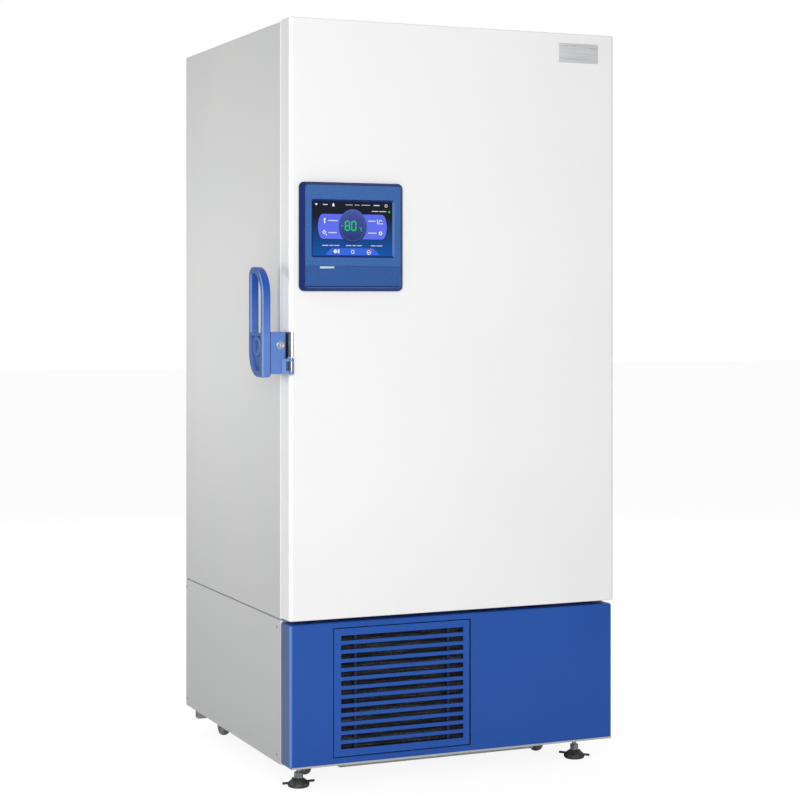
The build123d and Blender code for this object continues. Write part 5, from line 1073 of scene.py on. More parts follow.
# White enamel: the door is a shade brighter than the cabinet, which has painted shade towards the floor.
# Both whites get a white painted highlight on their left front folds.
DOOR_WHITE = StovedEnamel("stoved enamel, door white", "F3F3F3", 0.36, tint="F5F5F5")
CABINET_WHITE = StovedEnamel("stoved enamel, cabinet white", "DADBDB", 0.42, tint="DDDDDC",
                             low="BFC0C0")
# Blue enamel: a painted highlight on its left front folds, and painted shade on the side face beside it.
PANEL_BLUE = StovedEnamel("stoved enamel, cover blue", "1A4FA4", 0.34, tint="1D52A8", gloss=0.35,
                          peel_depth_mm=0.03, painted_highlight="6389CE", painted_flank_shade="3E5890")
# Blue plastics: the bezel's coarse pebble greys its highlight, the flap is a shade deeper.
# The bezel and the flap get painted shade on their sides that turn away and a painted highlight on the
# lit recess wall.
BEZEL_BLUE = BezelPlastic("moulded ABS, bezel blue", "2C5798", 0.50, high="4470AE", gloss=0.25,
                          grain_depth_mm=0.14)
FLAP_BLUE = replace(BEZEL_BLUE, name="moulded ABS, flap blue", colour="244D90", high="36609F")
# The grille gets painted shade in its recessed back.
GRILLE_BLUE = DeepPlastic("moulded ABS, grille blue", "1B50A6", 0.42, high="2055AC", gloss=0.35,
                          grain_depth_mm=0.04)
# The handle gets painted highlights on its left front edges and lower grip, and painted shade on its
# sides.
HANDLE_BLUE = HandNylon("moulded nylon, handle blue", "1A4FA8", 0.34, high="2055AE", gloss=0.45,
                        grain_depth_mm=0.03)
# Other plastics: satin, with a grain that only shows close by.
LINER_WHITE = GrainedPlastic("thermoformed ABS, liner white", "ECEDED", 0.42, high="F2F2F2",
                             grain_mm=3.0)
WHEEL_GREY = GrainedPlastic("moulded nylon, wheel grey", "8C8E90", 0.45, high="9A9C9E")
BLACK_PLASTIC = GrainedPlastic("moulded ABS, black", "1B1C1E", 0.50, high="242527")
MARK_GREY = GrainedPlastic("moulded ABS, mark grey", "B9CBE6", 0.45, high="C6D5EC", grain_depth_mm=0.01)
# Sheet metals: ground lines draw out the highlight.
LINER_STEEL = BrushedSteel("ground stainless, upright grain", "DDDFE1", 0.36, metal=0.45, dark="C4C6C9")
SHELF_STEEL = BrushedSteel("ground stainless, cross grain", "E0E2E4", 0.32, along=Axis.X, metal=0.5,
                           dark="C9CBCE")
BADGE_SILVER = BrushedSteel("brushed aluminium, lacquered", "E2E3E4", 0.34, along=Axis.X, metal=0.3,
                            dark="CFD0D2", scratch_mm=2.0)
HARDWARE_STEEL = BrushedSteel("ground stainless, hardware", "BDBFC1", 0.26, scratch_mm=1.0,
                              length_mm=30.0)
# Plated and drawn metals: crystal patches on the zinc, faint stains on the others.
ZINC = Mottled("zinc plated steel", "B4B7BA", 0.38, "85888B", Grain(9.0), (0.1, 0.8), metal=0.9,
               gloss=(-0.08, 0.10), smear=Grain(14.0, 3.0), relief=Grain(1.2, 2.0), relief_mm=0.02,
               relief_strength=0.4)
CHROME = stained_metal("chromed brass", "E4E6E8", 0.10, "C2C5C8")
COPPER = stained_metal("drawn copper tube", "C77B52", 0.28, "8A4B30")
FIN_STOCK = stained_metal("aluminium fin stock", "C4C7CA", 0.35, "9FA2A6")
# Soft and dark pieces: matt, so that only their shape catches light.
GASKET_RUBBER = moulded_rubber("extruded rubber, gasket white", "E6E6E3", 0.60, "D8D8D4", speck_mm=2.0)
FOOT_RUBBER = moulded_rubber("moulded rubber, foot black", "36373A", 0.42, "54565A")
WRAP_RUBBER = moulded_rubber("foamed rubber wrap", "17181A", 0.80, "2A2B2D", speck_mm=5.0)
CORE_FOAM = Mottled("foamed polyurethane", "EBDDB2", 0.85, "C9B888", Grain(2.4), (0.2, 0.7),
                    relief=Grain(2.4), relief_mm=0.5, relief_strength=0.8)
CAN_BLACK = Mottled("thick black paint", "121214", 0.38, "2E2E30", Grain(35.0, 5.0), gloss=(0.0, 0.15),
                    relief=Grain(8.0, 3.0), relief_mm=0.15, relief_strength=0.5)
FILTER_BLACK = FilterWeb("coated filter mesh", "101115", 0.55)


class Assembly:
    """A sub-assembly of the freezer, which knows its own sizes and finishes."""

    def dress(self, shop: Workshop) -> None:
        """Coat the sub-assembly's nodes and fit its own pieces.

        Args:
            shop: The workshop that holds the nodes, the finishes and the trees.
        """
        raise NotImplementedError


@dataclass
class Cabinet(Assembly):
    """The insulated cabinet: shell, back, throat and the fasteners that show.

    Args:
        rivet_radius: Radius of the rivets' heads.
        rivet_pitch: Least distance between them.
        rivet_inset: Their distance from the back panel's edges.
    """

    rivet_radius: float = 4.0
    rivet_pitch: float = 180.0
    rivet_inset: float = 14.0

    def dress(self, shop: Workshop) -> None:
        """Coat the cabinet's nodes and put rivets round its back panel."""
        shop.coat(CABINET_WHITE, "outer_shell", "back_panel")
        shop.coat(LINER_WHITE, "throat_frame")
        shop.coat(LINER_STEEL, "inner_liner")
        shop.coat(CORE_FOAM, "cabinet_insulation")
        back = Extent.of("back_panel")
        shop.screw_row("back_panel_rivets", self.rivets(back), (-90, 0, 0), self.rivet_radius,
                       "cabinet")

    def rivets(self, back: Extent) -> list[tuple[float, float, float]]:
        """Give the rivets' places along the back panel's four sides.

        Args:
            back: The back panel's box.

        Returns:
            Points on its rear face.
        """
        left, right = back.left + self.rivet_inset, back.right - self.rivet_inset
        low, high = back.bottom + self.rivet_inset, back.top - self.rivet_inset
        across = int((right - left) // self.rivet_pitch)
        upright = int((high - low) // self.rivet_pitch)
        line = [(left + (right - left) * step / across, z)
                for step in range(across + 1) for z in (low, high)]
        line += [(x, low + (high - low) * step / upright)
                 for step in range(1, upright) for x in (left, right)]
        return [(x, back.back, z) for x, z in line]


@dataclass
class LowerCovers(Assembly):
    """Side, rear and front covers of the machine compartment, with the intake grille.

    Args:
        screw_radius: Radius of the screws' heads.
        front_inset: The side screws' distance from the front edge.
        rear_inset: Their distance from the rear edge.
        drop: Their distance from the upper and lower edges.
        shade_from: Depth behind the grille's face where the painted shade on its plastic begins.
        shade_to: Depth where that painted shade is full.
    """

    screw_radius: float = 3.4
    front_inset: float = 32.0
    rear_inset: float = 10.0
    drop: float = 21.0
    shade_from: float = 3.4
    shade_to: float = 4.8

    def dress(self, shop: Workshop) -> None:
        """Coat the covers and put their screws in."""
        shop.coat(CABINET_WHITE, "lower_side_left", "lower_side_right", "rear_cover", "base_pan")
        shop.coat(PANEL_BLUE, "front_panel")
        face = Extent.of("grille_door").front
        # Painted shade in the grille's recesses, behind its face.
        painted_recess_shade_m = (mm(face + self.shade_from), mm(face + self.shade_to))
        shop.coat(replace(GRILLE_BLUE, painted_recess_shade_m=painted_recess_shade_m), "grille_door")
        shop.coat(FILTER_BLACK, "air_filter")
        for side, turn in (("left", -90), ("right", 90)):
            cover = Extent.of("lower_side_" + side)
            x = cover.left if side == "left" else cover.right
            points = [(x, y, z) for z in (cover.top - self.drop, cover.bottom + self.drop)
                      for y in (cover.front + self.front_inset, cover.back - self.rear_inset)]
            shop.screw_row(f"side_screws_{side}", points, (0, turn, 0), self.screw_radius, "cabinet")
        rear = Extent.of("rear_cover")
        columns = (rear.left + self.drop, rear.middle_x, rear.right - self.drop)
        points = [(x, rear.back, z) for x in columns
                  for z in (rear.bottom + self.drop, rear.top - self.drop)]
        shop.screw_row("rear_cover_screws", points, (-90, 0, 0), self.screw_radius, "cabinet")


@dataclass
class Door(Assembly):
    """The outer door: its skin, liner, bellows gasket and the bare plate near its top.

    Args:
        plate_width: The bare plate's width.
        plate_height: Its height.
        plate_depth: Its thickness.
        plate_from_right: Its distance from the door's right side.
        plate_from_top: Its distance from the door's top.
        plate_edge: Radius of its edges.
        gasket_corner: Inner radius of the gasket's corners.
        bellows: The gasket's profile, as places across it and out from the door.
    """

    plate_width: float = 121.0
    plate_height: float = 52.0
    plate_depth: float = 2.2
    plate_from_right: float = 50.5
    plate_from_top: float = 27.0
    plate_edge: float = 0.9
    gasket_corner: float = 3.0
    bellows: tuple[Flat, ...] = (
        (-12.0, 0.0), (12.0, 0.0), (12.0, 1.0), (9.0, 1.6), (10.6, 2.7), (8.4, 3.6), (9.8, 4.6),
        (8.6, 5.6), (-8.6, 5.6), (-9.8, 4.6), (-8.4, 3.6), (-10.6, 2.7), (-9.0, 1.6), (-12.0, 1.0))

    def dress(self, shop: Workshop) -> None:
        """Coat the door, sweep its gasket and fix the plate."""
        shop.coat(DOOR_WHITE, "door_skin")
        shop.coat(LINER_WHITE, "door_liner")
        shop.coat(CORE_FOAM, "door_core")
        self.gasket(shop)
        self.plate(shop)

    def gasket(self, shop: Workshop) -> None:
        """Sweep the bellows profile round the door's back.

        Args:
            shop: The workshop.
        """
        box = Extent.of("door_gasket")
        reach = -min(x for x, _ in self.bellows)
        profile = [(x, y, 0.0) for x, y in self.bellows]
        values = {"Width": mm(box.width - 2 * reach), "Height": mm(box.height - 2 * reach),
                  "Corner": mm(self.gasket_corner), "Finish": shop.finish(GASKET_RUBBER),
                  "Place": (mm(box.middle_x), mm(box.front), mm(box.middle_z))}
        piece = shop.frames.grow("bellows_gasket", carrier_mesh(profile, closed=True), values)
        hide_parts("door_gasket")
        shop.fit(piece, "door")

    def plate(self, shop: Workshop) -> None:
        """Fix a bare brushed plate near the door's top right corner.

        Args:
            shop: The workshop.
        """
        skin = Extent.of("door_skin")
        right, top = skin.right - self.plate_from_right, skin.top - self.plate_from_top
        draft = Draft()
        draft.slab((right - self.plate_width, skin.front - self.plate_depth, top - self.plate_height),
                   (right, skin.front, top), self.plate_edge, steps=3)
        shop.fit(draft.finished("bare_plate", shop.finish(BADGE_SILVER)), "door")


@dataclass
class Display(Assembly):
    """The touch screen's lit picture, laid on the glass in thin layers.

    Places in the picture are millimetres to the right of its left side and down from its top.

    Args:
        layer: Height of one layer.
        layer_fill: Share of it that the layer's shapes fill.
        lit_size: Width and height of the lit area.
        glow: Emission strength of every layer.
        dark_share: Share of the height, from the top, that stays dark.
        bar_radius: Radius of a bar's corners.
        bar_flat: Least flat length of half a bar's end.
        bar_steps: Facets in each of a bar's corners.
        stroke_gap: Space at each end of a stroke.
        bulge_steps: Facets of each bulging end.
        lozenge: Left, right, top and bottom of the wide shape behind the dial, and its ends' bulge.
        tab_corners: Corners of the tab along the bottom.
        dial: The dial's middle.
        rim: Half sizes of the dial's rim, and the distances down between which it fades.
        face: The same for the dial's face.
        band: Half sizes, thickness and number of sides of the dial's ring.
        minus: The minus sign's ends and thickness.
        digit_size: Top, width, height and thickness of the digits.
        digit_starts: Left side of each digit, with its lit segments.
        unit: The strokes of the degree sign and its letter, as ends and thickness.
        words: Plain bars that stand for words, as left, right, middle and thickness.
        signs: Small plain signs, each a kind of shape with its places and sizes.
        cone: Corners of the sign at the top left.
        rings: Name, middle, half sizes, thickness and number of sides of each ring sign.
        dots: Name, ink, layer, middle, half sizes and number of sides of each lit dot.
    """

    layer: float = 0.06
    layer_fill: float = 0.8
    lit_size: Flat = (216.96, 135.6)
    glow: float = 0.95
    dark_share: float = 0.28
    bar_radius: float = 1.0
    bar_flat: float = 0.05
    bar_steps: int = 3
    stroke_gap: float = 0.35
    bulge_steps: int = 14
    lozenge: tuple[float, ...] = (26.4, 189.8, 30.7, 94.6, 13.8)
    tab_corners: tuple[Flat, ...] = ((33.2, 135.6), (183.4, 135.6), (176.0, 127.5), (165.8, 118.2),
                                     (49.7, 118.2), (40.0, 127.5))
    dial: Flat = (108.5, 62.0)
    rim: tuple[Flat, Flat] = ((39.0, 44.2), (18.0, 106.0))
    face: tuple[Flat, Flat] = ((36.6, 41.8), (20.0, 104.0))
    band: tuple[float, ...] = (33.2, 38.0, 1.5, ROUND_SIDES)
    minus: tuple[float, ...] = (76.2, 60.4, 82.8, 60.4, 2.2)
    digit_size: tuple[float, ...] = (47.6, 14.6, 26.0, 3.2)
    digit_starts: tuple[tuple[float, str], ...] = ((86.2, "abcdefg"), (103.9, "abcdef"))
    unit: tuple[tuple[float, ...], ...] = (
        (126.4, 62.4, 128.4, 65.2, 2.0), (130.0, 66.0, 135.2, 66.0, 1.8),
        (130.6, 66.0, 130.6, 72.4, 1.8), (130.6, 72.4, 135.2, 73.2, 1.8))
    words: tuple[tuple[float, ...], ...] = (
        (25.8, 39.0, 6.8, 2.4), (88.4, 108.3, 6.8, 1.4), (113.8, 127.1, 6.8, 1.4),
        (132.6, 156.9, 6.8, 1.4), (166.9, 183.5, 6.8, 2.6), (161.4, 180.0, 22.2, 2.0),
        (182.6, 202.3, 22.2, 2.0), (40.8, 67.4, 47.6, 2.8), (40.8, 64.1, 78.6, 2.8),
        (151.4, 172.4, 47.6, 2.8), (151.4, 174.6, 78.6, 2.8), (24.3, 41.0, 111.4, 2.0),
        (43.4, 55.2, 111.4, 2.0), (57.6, 71.8, 111.4, 2.0), (89.5, 104.8, 111.4, 2.0),
        (107.2, 118.0, 111.4, 2.0), (120.4, 133.7, 111.4, 2.0), (158.7, 172.2, 111.4, 2.0),
        (174.6, 191.2, 111.4, 2.0))
    signs: tuple[tuple[object, ...], ...] = (
        ("bar", 28.6, 33.2, 44.2, 5.6), ("bar", 29.2, 32.6, 51.0, 7.4),
        ("stroke", 33.4, 81.4, 37.6, 85.6, 2.4), ("stroke", 177.4, 42.0, 177.4, 54.2, 1.8),
        ("stroke", 176.6, 54.0, 193.6, 54.0, 1.8), ("stroke", 180.0, 50.6, 185.6, 44.0, 2.0),
        ("stroke", 185.2, 44.2, 192.6, 49.0, 2.0), ("bar", 51.8, 58.0, 8.6, 5.0),
        ("bar", 53.0, 56.8, 4.8, 3.6), ("oval", 60.4, 126.6, 5.0, 5.2, 8),
        ("bar", 67.2, 71.6, 126.4, 10.0), ("stroke", 150.4, 131.4, 156.0, 126.0, 2.0))
    cone: tuple[Flat, ...] = ((7.8, 9.6), (12.0, 4.4), (3.6, 4.4))
    rings: tuple[tuple[object, ...], ...] = (
        ("inquiry", 29.8, 77.3, 5.6, 5.9, 2.6, 4), ("gear", 186.1, 78.7, 5.0, 5.2, 2.8, 8),
        ("home", 201.6, 7.4, 4.0, 4.0, 1.4, 12), ("mid", 108.5, 127.4, 5.4, 5.6, 1.8, 6),
        ("right", 153.6, 128.4, 6.0, 6.2, 1.6, 16))
    dots: tuple[tuple[object, ...], ...] = (
        ("ready_dot", "dot green", "10D820", 2, 210.4, 23.1, 2.7, 2.8, 12),
        ("alert_dot", "dot red", "F4573A", 3, 158.6, 122.9, 3.4, 3.4, 16))

    def dress(self, shop: Workshop) -> None:
        """Coat the glass and lay the picture on it."""
        glass = Extent.of("touch_screen")
        width, height = self.lit_size
        self.left, self.top = glass.middle_x - width / 2, glass.middle_z + height / 2
        self.glass_y = glass.front
        back = Backlit("backlit display", "1B1F2C", 0.22, "1557A8", self.glow,
                       self.heights(height * self.dark_share, height), smear=0.06)
        shop.coat(back, "touch_screen")
        shop.coat(BLACK_PLASTIC, "display_module")
        white = self.ink("icon white", "F2F4FF")
        self.lay(shop, "pills", [self.lozenge_line()], self.ink("periwinkle", "5A6BF0", "6D7BF2"), 1)
        self.lay(shop, "tab", [[self.point(*corner) for corner in self.tab_corners]],
                 self.ink("tab blue", "2E62D0", "3D6AE6"), 1)
        self.lay(shop, "dial_rim", [self.disc(*self.dial, *self.rim[0])],
                 self.ink("dial rim", "5B68C0", "262F78", self.rim[1]), 2)
        self.lay(shop, "dial", [self.disc(*self.dial, *self.face[0])],
                 self.ink("dial face", "4C57A6", "2B3576", self.face[1]), 3)
        self.ring(shop, "dial_ring", (*self.dial, *self.band),
                  self.ink("teal ring", "2F6E8C", "2C6A78"), 4)
        self.lay(shop, "digits", self.digits(), self.ink("digit green", "00E03C"), 5)
        self.lay(shop, "words", [self.bar(*row) for row in self.words],
                 self.ink("word white", "D5D9EE"), 2)
        self.lay(shop, "icons", self.icons(), white, 2)
        for name, *sizes in self.rings:
            self.ring(shop, f"ring_{name}", sizes, white, 2)
        for name, ink, colour, level, *sizes in self.dots:
            self.lay(shop, name, [self.disc(*sizes)], self.ink(ink, colour), level)

    def heights(self, start: float, end: float) -> tuple[float, float]:
        """Turn two distances below the picture's top into heights in metres."""
        return mm(self.top - start), mm(self.top - end)

    def ink(self, name: str, head: str, foot: str = "", fade: Span | None = None) -> Backlit:
        """Give a lit colour, which may drift to another between two distances below the top."""
        start, end = fade or (0.0, self.lit_size[1])
        return Backlit("lit " + name, head, 0.25, foot or head, self.glow, self.heights(start, end))

    def point(self, across: float, down: float) -> Flat:
        """Turn a place in the picture to X and Z."""
        return (self.left + across, self.top - down)

    def disc(self, across: float, down: float, half_x: float, half_z: float,
             sides: int = ROUND_SIDES) -> list[Flat]:
        """Give an ellipse placed in the picture."""
        return oval(*self.point(across, down), half_x, half_z, sides)

    def bar(self, start: float, end: float, down: float, tall: float) -> list[Flat]:
        """Give a plain bar with rounded ends.

        Args:
            start: Its left end, from the picture's left side.
            end: Its right end.
            down: Its middle, from the picture's top.
            tall: Its height.

        Returns:
            Its outline as X and Z.
        """
        x0, z = self.point(start, down)
        radius = min(self.bar_radius, tall / 2 - self.bar_flat)
        return rounded(x0, x0 + end - start, z - tall / 2, z + tall / 2, radius, self.bar_steps)

    def stroke(self, across0: float, down0: float, across1: float, down1: float,
               thick: float) -> list[Flat]:
        """Give a bar with pointed ends between two places in the picture.

        Args:
            across0: The first place, from the left side.
            down0: The first place, from the top.
            across1: The second place, from the left side.
            down1: The second place, from the top.
            thick: The bar's thickness.

        Returns:
            Its outline as X and Z.
        """
        start, end = Vector(self.point(across0, down0)), Vector(self.point(across1, down1))
        run = (end - start).normalized()
        side, tip, gap = Vector((-run.y, run.x)) * thick / 2, run * thick / 2, run * self.stroke_gap
        corners = (start + gap, start + gap + tip - side, end - gap - tip - side, end - gap,
                   end - gap - tip + side, start + gap + tip + side)
        return [(corner.x, corner.y) for corner in corners]

    def lozenge_line(self) -> list[Flat]:
        """Give the wide shape behind the dial, with bulging ends.

        Returns:
            Its outline as X and Z.
        """
        left, right, top, bottom, bulge = self.lozenge
        line = []
        for centre, sign in ((right, 1), (left, -1)):
            for step in range(self.bulge_steps + 1):
                turn = sign * math.pi * (0.5 - step / self.bulge_steps)
                line.append(self.point(centre + sign * bulge * math.cos(turn),
                                       (top + bottom) / 2 - (bottom - top) / 2 * math.sin(turn)))
        return line

    def digits(self) -> list[list[Flat]]:
        """Give the seven-segment reading, minus eighty degrees.

        Returns:
            The outlines of its lit bars.
        """
        top, wide, tall, thick = self.digit_size
        z0, z1, z2 = top + thick / 2, top + tall / 2, top + tall - thick / 2
        bars = [self.stroke(*self.minus)]
        for left, lit in self.digit_starts:
            x0, x1 = left + thick / 2, left + wide - thick / 2
            ends = {"a": (x0, z0, x1, z0), "b": (x1, z0, x1, z1), "c": (x1, z1, x1, z2),
                    "d": (x0, z2, x1, z2), "e": (x0, z1, x0, z2), "f": (x0, z0, x0, z1),
                    "g": (x0, z1, x1, z1)}
            bars += [self.stroke(*ends[letter], thick) for letter in lit]
        return bars + [self.stroke(*row) for row in self.unit]

    def icons(self) -> list[list[Flat]]:
        """Give the small plain signs: a tube, a handle, a chart, a cone, a lock and two tools.

        Returns:
            Their outlines.
        """
        kinds = {"bar": self.bar, "stroke": self.stroke, "oval": self.disc}
        shapes = [kinds[kind](*sizes) for kind, *sizes in self.signs]
        return shapes + [[self.point(*corner) for corner in self.cone]]

    def lay(self, shop: Workshop, name: str, shapes: Iterable[Sequence[Flat]], finish: Backlit,
            level: int) -> None:
        """Lay flat shapes on the glass.

        Args:
            shop: The workshop.
            name: The layer's name.
            shapes: Their outlines as X and Z.
            finish: Their lit colour.
            level: How many layers lie between them and the glass.
        """
        draft = Draft()
        for shape in shapes:
            draft.plate(shape, self.front(level), self.layer * self.layer_fill)
        self.fix(shop, name, draft, finish)

    def ring(self, shop: Workshop, name: str, sizes: Sequence[float], finish: Backlit,
             level: int) -> None:
        """Lay a ring on the glass, round with many sides or cornered with few.

        Args:
            shop: The workshop.
            name: The layer's name.
            sizes: The ring's middle, half sizes, thickness and number of sides.
            finish: Its lit colour.
            level: How many layers lie between it and the glass.
        """
        across, down, half_x, half_z, thick, sides = sizes
        draft = Draft()
        draft.ring(self.disc(across, down, half_x, half_z, sides),
                   self.disc(across, down, half_x - thick, half_z - thick, sides),
                   self.front(level), self.layer * self.layer_fill)
        self.fix(shop, name, draft, finish)

    def front(self, level: int) -> float:
        """Give Y of a layer's front."""
        return self.glass_y - self.layer * (level + 1)

    def fix(self, shop: Workshop, name: str, draft: Draft, finish: Backlit) -> None:
        """Finish one layer's shapes as a piece that rides on the door."""
        shop.fit(draft.finished(f"display_{name}", shop.finish(finish)), "door")


@dataclass
class ControlPanel(Assembly):
    """The moulded bezel on the door, its flap with a pale mark, and the display.

    Args:
        mark_size: Width and height of the mark.
        mark_from_left: Its distance from the bezel's left side.
        mark_from_top: Its distance from the flap's top.
        mark_proud: How far it stands proud of the flap.
        mark_root: How far it goes in.
        mark_edge: Radius of its edges.
        display: The display's picture.
    """

    mark_size: Flat = (39.0, 5.0)
    mark_from_left: float = 51.5
    mark_from_top: float = 0.6
    mark_proud: float = 0.04
    mark_root: float = 0.4
    mark_edge: float = 0.03
    display: Display = field(default_factory=Display)

    def dress(self, shop: Workshop) -> None:
        """Coat the bezel and the flap, and dress the display."""
        bezel, flap = Extent.of("control_bezel"), Extent.of("service_flap")
        shop.coat(replace(BEZEL_BLUE, middle_m=mm(bezel.middle_x)), "control_bezel")
        shop.coat(replace(FLAP_BLUE, middle_m=mm(bezel.middle_x)), "service_flap")
        left, top = bezel.left + self.mark_from_left, flap.top - self.mark_from_top
        width, height = self.mark_size
        draft = Draft()
        draft.slab((left, flap.front - self.mark_proud, top - height),
                   (left + width, flap.front + self.mark_root, top), self.mark_edge)
        shop.fit(draft.finished("flap_mark", shop.finish(MARK_GREY)), "flap")
        self.display.dress(shop)


@dataclass
class LeverHandle(Assembly):
    """The lever handle with its lock, pivot and latch.

    Args:
        painted_foot_light_share: Shares of the lever's height where the painted highlight begins and
            where it is full.
    """

    painted_foot_light_share: Span = (0.82, 0.35)

    def dress(self, shop: Workshop) -> None:
        """Coat the handle's nodes, with a painted highlight on the lever towards its foot."""
        lever = Extent.of("handle_lever")
        # Painted highlight on the lever towards its foot.
        painted_foot_light_m = tuple(mm(lever.bottom + lever.height * share) for share in self.painted_foot_light_share)
        shop.coat(replace(HANDLE_BLUE, painted_foot_light_m=painted_foot_light_m), "handle_lever")
        shop.coat(CHROME, "lock_cylinder")
        shop.coat(HARDWARE_STEEL, "handle_bracket", "handle_pin", "latch_hook", "latch_keeper")


@dataclass
class Hinges(Assembly):
    """Fixed and moving hinge leaves, with screws in their seats.

    Args:
        screw_radius: Radius of the screws' heads.
        leaf_depth: A leaf's reach from the hinge's axis.
        leaf_height: A leaf's height.
        leaf_sheet: A leaf's thickness under a screw.
        knuckle: Radius of the knuckles, behind the axis.
        seats: Shares of a leaf's reach at which the screws sit.
    """

    screw_radius: float = 4.4
    leaf_depth: float = 56.0
    leaf_height: float = 120.0
    leaf_sheet: float = 1.0
    knuckle: float = 9.0
    seats: Span = (0.35, 0.75)

    def dress(self, shop: Workshop) -> None:
        """Coat the leaves and fill their screw seats."""
        shop.coat(HARDWARE_STEEL, "cabinet_hinges", "door_hinge_leaves")
        skin = Extent.of("door_skin")
        moving = Extent.of("door_hinge_leaves")
        axis_y = moving.back - self.knuckle
        low = moving.bottom + self.leaf_height / 2
        high = moving.top - self.leaf_height / 2
        heights = [low, (low + high) / 2, high]
        for body, sign in (("cabinet", 1), ("door", -1)):
            points = [(skin.right + self.leaf_sheet, axis_y + sign * self.leaf_depth * share, z + lift)
                      for z in heights for share in self.seats
                      for lift in (-self.leaf_height / 3, self.leaf_height / 3)]
            shop.screw_row(f"hinge_screws_{body}", points, (0, 90, 0), self.screw_radius, body)


@dataclass
class Interior(Assembly):
    """Inner doors, shelves, rails and seals."""

    def dress(self, shop: Workshop) -> None:
        """Coat the inner pieces."""
        shop.coat(LINER_WHITE, "inner_door_lower", "inner_door_upper")
        shop.coat(GASKET_RUBBER, "inner_door_seals")
        shop.coat(SHELF_STEEL, "shelves")
        shop.coat(LINER_STEEL, "shelf_rails")


@dataclass
class MachineRoom(Assembly):
    """What stands on the base behind the front cover."""

    def dress(self, shop: Workshop) -> None:
        """Coat the refrigeration and electrical nodes."""
        shop.coat(FIN_STOCK, "condenser")
        shop.coat(ZINC, "fan_shroud", "compartment_deck")
        shop.coat(CAN_BLACK, "fan_motor", "compressor_high_stage", "compressor_low_stage")
        shop.coat(BLACK_PLASTIC, "fan_blades", "cable_gland")
        shop.coat(WRAP_RUBBER, "heat_exchanger")
        shop.coat(FOOT_RUBBER, "compressor_mounts")
        shop.coat(COPPER, "refrigerant_pipes")
        shop.coat(CABINET_WHITE, "electrical_box")


@dataclass
class Undercarriage(Assembly):
    """Base frame, casters and levelling feet."""

    corners: tuple[str, ...] = ("front_left", "front_right", "rear_left", "rear_right")

    def dress(self, shop: Workshop) -> None:
        """Coat the base, the casters and the feet."""
        shop.coat(CABINET_WHITE, "base_frame")
        shop.coat(ZINC, "caster_plates", "foot_stud_left", "foot_stud_right")
        shop.coat(FOOT_RUBBER, "foot_pad_left", "foot_pad_right")
        for corner in self.corners:
            shop.coat(ZINC, "caster_fork_" + corner)
            shop.coat(WHEEL_GREY, "caster_wheel_" + corner)


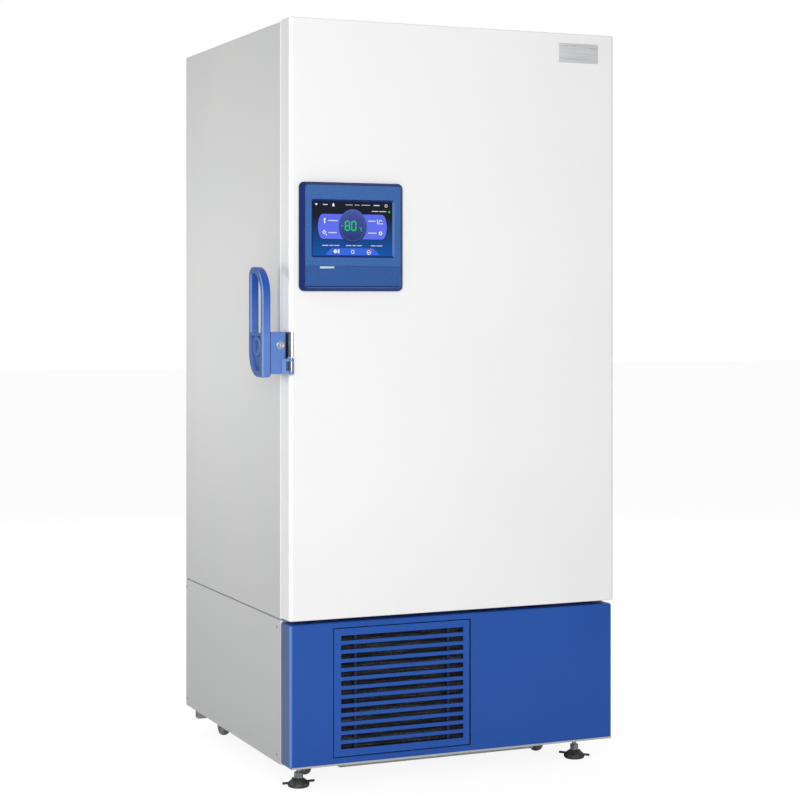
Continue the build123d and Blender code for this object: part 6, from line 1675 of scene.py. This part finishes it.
@dataclass
class Studio:
    """A white floor and backdrop, soft lamps and the camera at the photo's place.

    Args:
        camera_mm: The camera's place.
        camera_turn_deg: How far it looks to the right of +Y.
        focal_px: Its focal length, in pixels of the photo.
        horizon_px: Height of the horizon in the photo.
        floor_half_m: Half the floor's side.
        floor_level: Share of plain white in what the camera sees of the floor.
        floor_glow: Strength of that white.
        world_level: Strength of the even light.
        lamp_rows: Name, place, target, side and power of each lamp.
    """

    camera_mm: tuple[float, float, float] = (-2158.75, -5130.0, 1269.0)
    camera_turn_deg: float = 23.32
    focal_px: float = 1951.4
    horizon_px: float = 301.1
    floor_half_m: float = 30.0
    floor_level: float = 0.82
    floor_glow: float = 1.10
    world_level: float = 0.44
    lamp_rows: tuple[tuple[object, ...], ...] = (
        ("key", (-1.5, -3.8, 1.8), (0.0, -0.4, 1.1), 2.2, 79.0),
        ("side", (-1.7, 0.3, 1.25), (-0.45, 0.25, 1.2), 0.5, 7.0),
        ("rear", (1.6, 4.8, 3.0), (0.1, 0.4, 1.0), 3.0, 60.0))

    def dress(self) -> None:
        """Make the floor, the world, the lamps and the camera, and set the view."""
        self.floor()
        self.world()
        for row in self.lamp_rows:
            self.lamp(*row)
        self.camera()
        bpy.context.scene.view_settings.view_transform = "Standard"

    def floor(self) -> None:
        """Lay a floor that takes the shadow but looks white to the camera."""
        half = self.floor_half_m
        data = bpy.data.meshes.new("floor")
        corners = [(-half, -half, 0), (half, -half, 0), (half, half, 0), (-half, half, 0)]
        data.from_pydata(corners, [], [(0, 1, 2, 3)])
        material = bpy.data.materials.new("studio floor")
        material.use_nodes = True
        tree = material.node_tree
        tree.nodes.clear()
        paint = add_node(tree, "ShaderNodeBsdfDiffuse", {"Color": linear("F4F4F4")})
        white = add_node(tree, "ShaderNodeEmission",
                         {"Color": (1, 1, 1, 1), "Strength": self.floor_glow})
        path = add_node(tree, "ShaderNodeLightPath")
        amount = add_node(tree, "ShaderNodeMath", {"operation": "MULTIPLY", 1: self.floor_level},
                          {0: path.outputs["Is Camera Ray"]})
        mixed = add_node(tree, "ShaderNodeMixShader", None,
                         {0: amount.outputs[0], 1: paint.outputs[0], 2: white.outputs[0]})
        add_node(tree, "ShaderNodeOutputMaterial", None, {"Surface": mixed.outputs[0]})
        data.materials.append(material)
        sheet = bpy.data.objects.new("studio_floor", data)
        bpy.context.scene.collection.objects.link(sheet)

    def world(self) -> None:
        """Give an even grey light that is white to the camera, and to what it sees through glass."""
        world = bpy.data.worlds.new("studio")
        bpy.context.scene.world = world
        world.use_nodes = True
        tree = world.node_tree
        tree.nodes.clear()
        path = add_node(tree, "ShaderNodeLightPath")
        seen = add_node(tree, "ShaderNodeMath", {"operation": "MAXIMUM"},
                        {0: path.outputs["Is Camera Ray"], 1: path.outputs["Is Transmission Ray"]})
        level = add_node(tree, "ShaderNodeMapRange", {"To Min": self.world_level, "To Max": 1.0},
                         {"Value": seen.outputs[0]})
        light = add_node(tree, "ShaderNodeBackground", {"Color": (1, 1, 1, 1)},
                         {"Strength": level.outputs["Result"]})
        add_node(tree, "ShaderNodeOutputWorld", None, {"Surface": light.outputs[0]})

    def lamp(self, name: str, place: Sequence[float], target: Sequence[float], side: float,
             watts: float) -> None:
        """Hang one square area lamp.

        Args:
            name: The lamp's name.
            place: Where it hangs, in metres.
            target: The point that it faces.
            side: Its side in metres.
            watts: Its power.
        """
        light = bpy.data.lights.new(name, "AREA")
        light.shape = "SQUARE"
        light.size = side
        light.energy = watts
        lamp = bpy.data.objects.new(name, light)
        lamp.location = place
        lamp.rotation_euler = (Vector(target) - Vector(place)).to_track_quat("-Z", "Y").to_euler()
        bpy.context.scene.collection.objects.link(lamp)

    def camera(self) -> None:
        """Put the camera where the photo was taken, level, with the frame shifted down."""
        data = bpy.data.cameras.new("camera")
        data.sensor_width = SENSOR_MM
        data.lens = self.focal_px / IMAGE_SIDE * SENSOR_MM
        data.shift_y = (self.horizon_px - IMAGE_SIDE / 2) / IMAGE_SIDE
        data.clip_end = CAMERA_REACH_M
        camera = bpy.data.objects.new("camera", data)
        camera.location = tuple(mm(value) for value in self.camera_mm)
        camera.rotation_euler = (math.pi / 2, 0.0, -math.radians(self.camera_turn_deg))
        bpy.context.scene.collection.objects.link(camera)
        bpy.context.scene.camera = camera


def main() -> None:
    """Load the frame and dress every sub-assembly."""
    logging.basicConfig(level=logging.INFO, format="%(name)s: %(message)s")
    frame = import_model()
    Studio().dress()
    shop = Workshop(frame)
    for assembly in (Cabinet(), LowerCovers(), Door(), ControlPanel(), LeverHandle(), Hinges(),
                     Interior(), MachineRoom(), Undercarriage()):
        assembly.dress(shop)


if __name__ == "__main__":
    main()
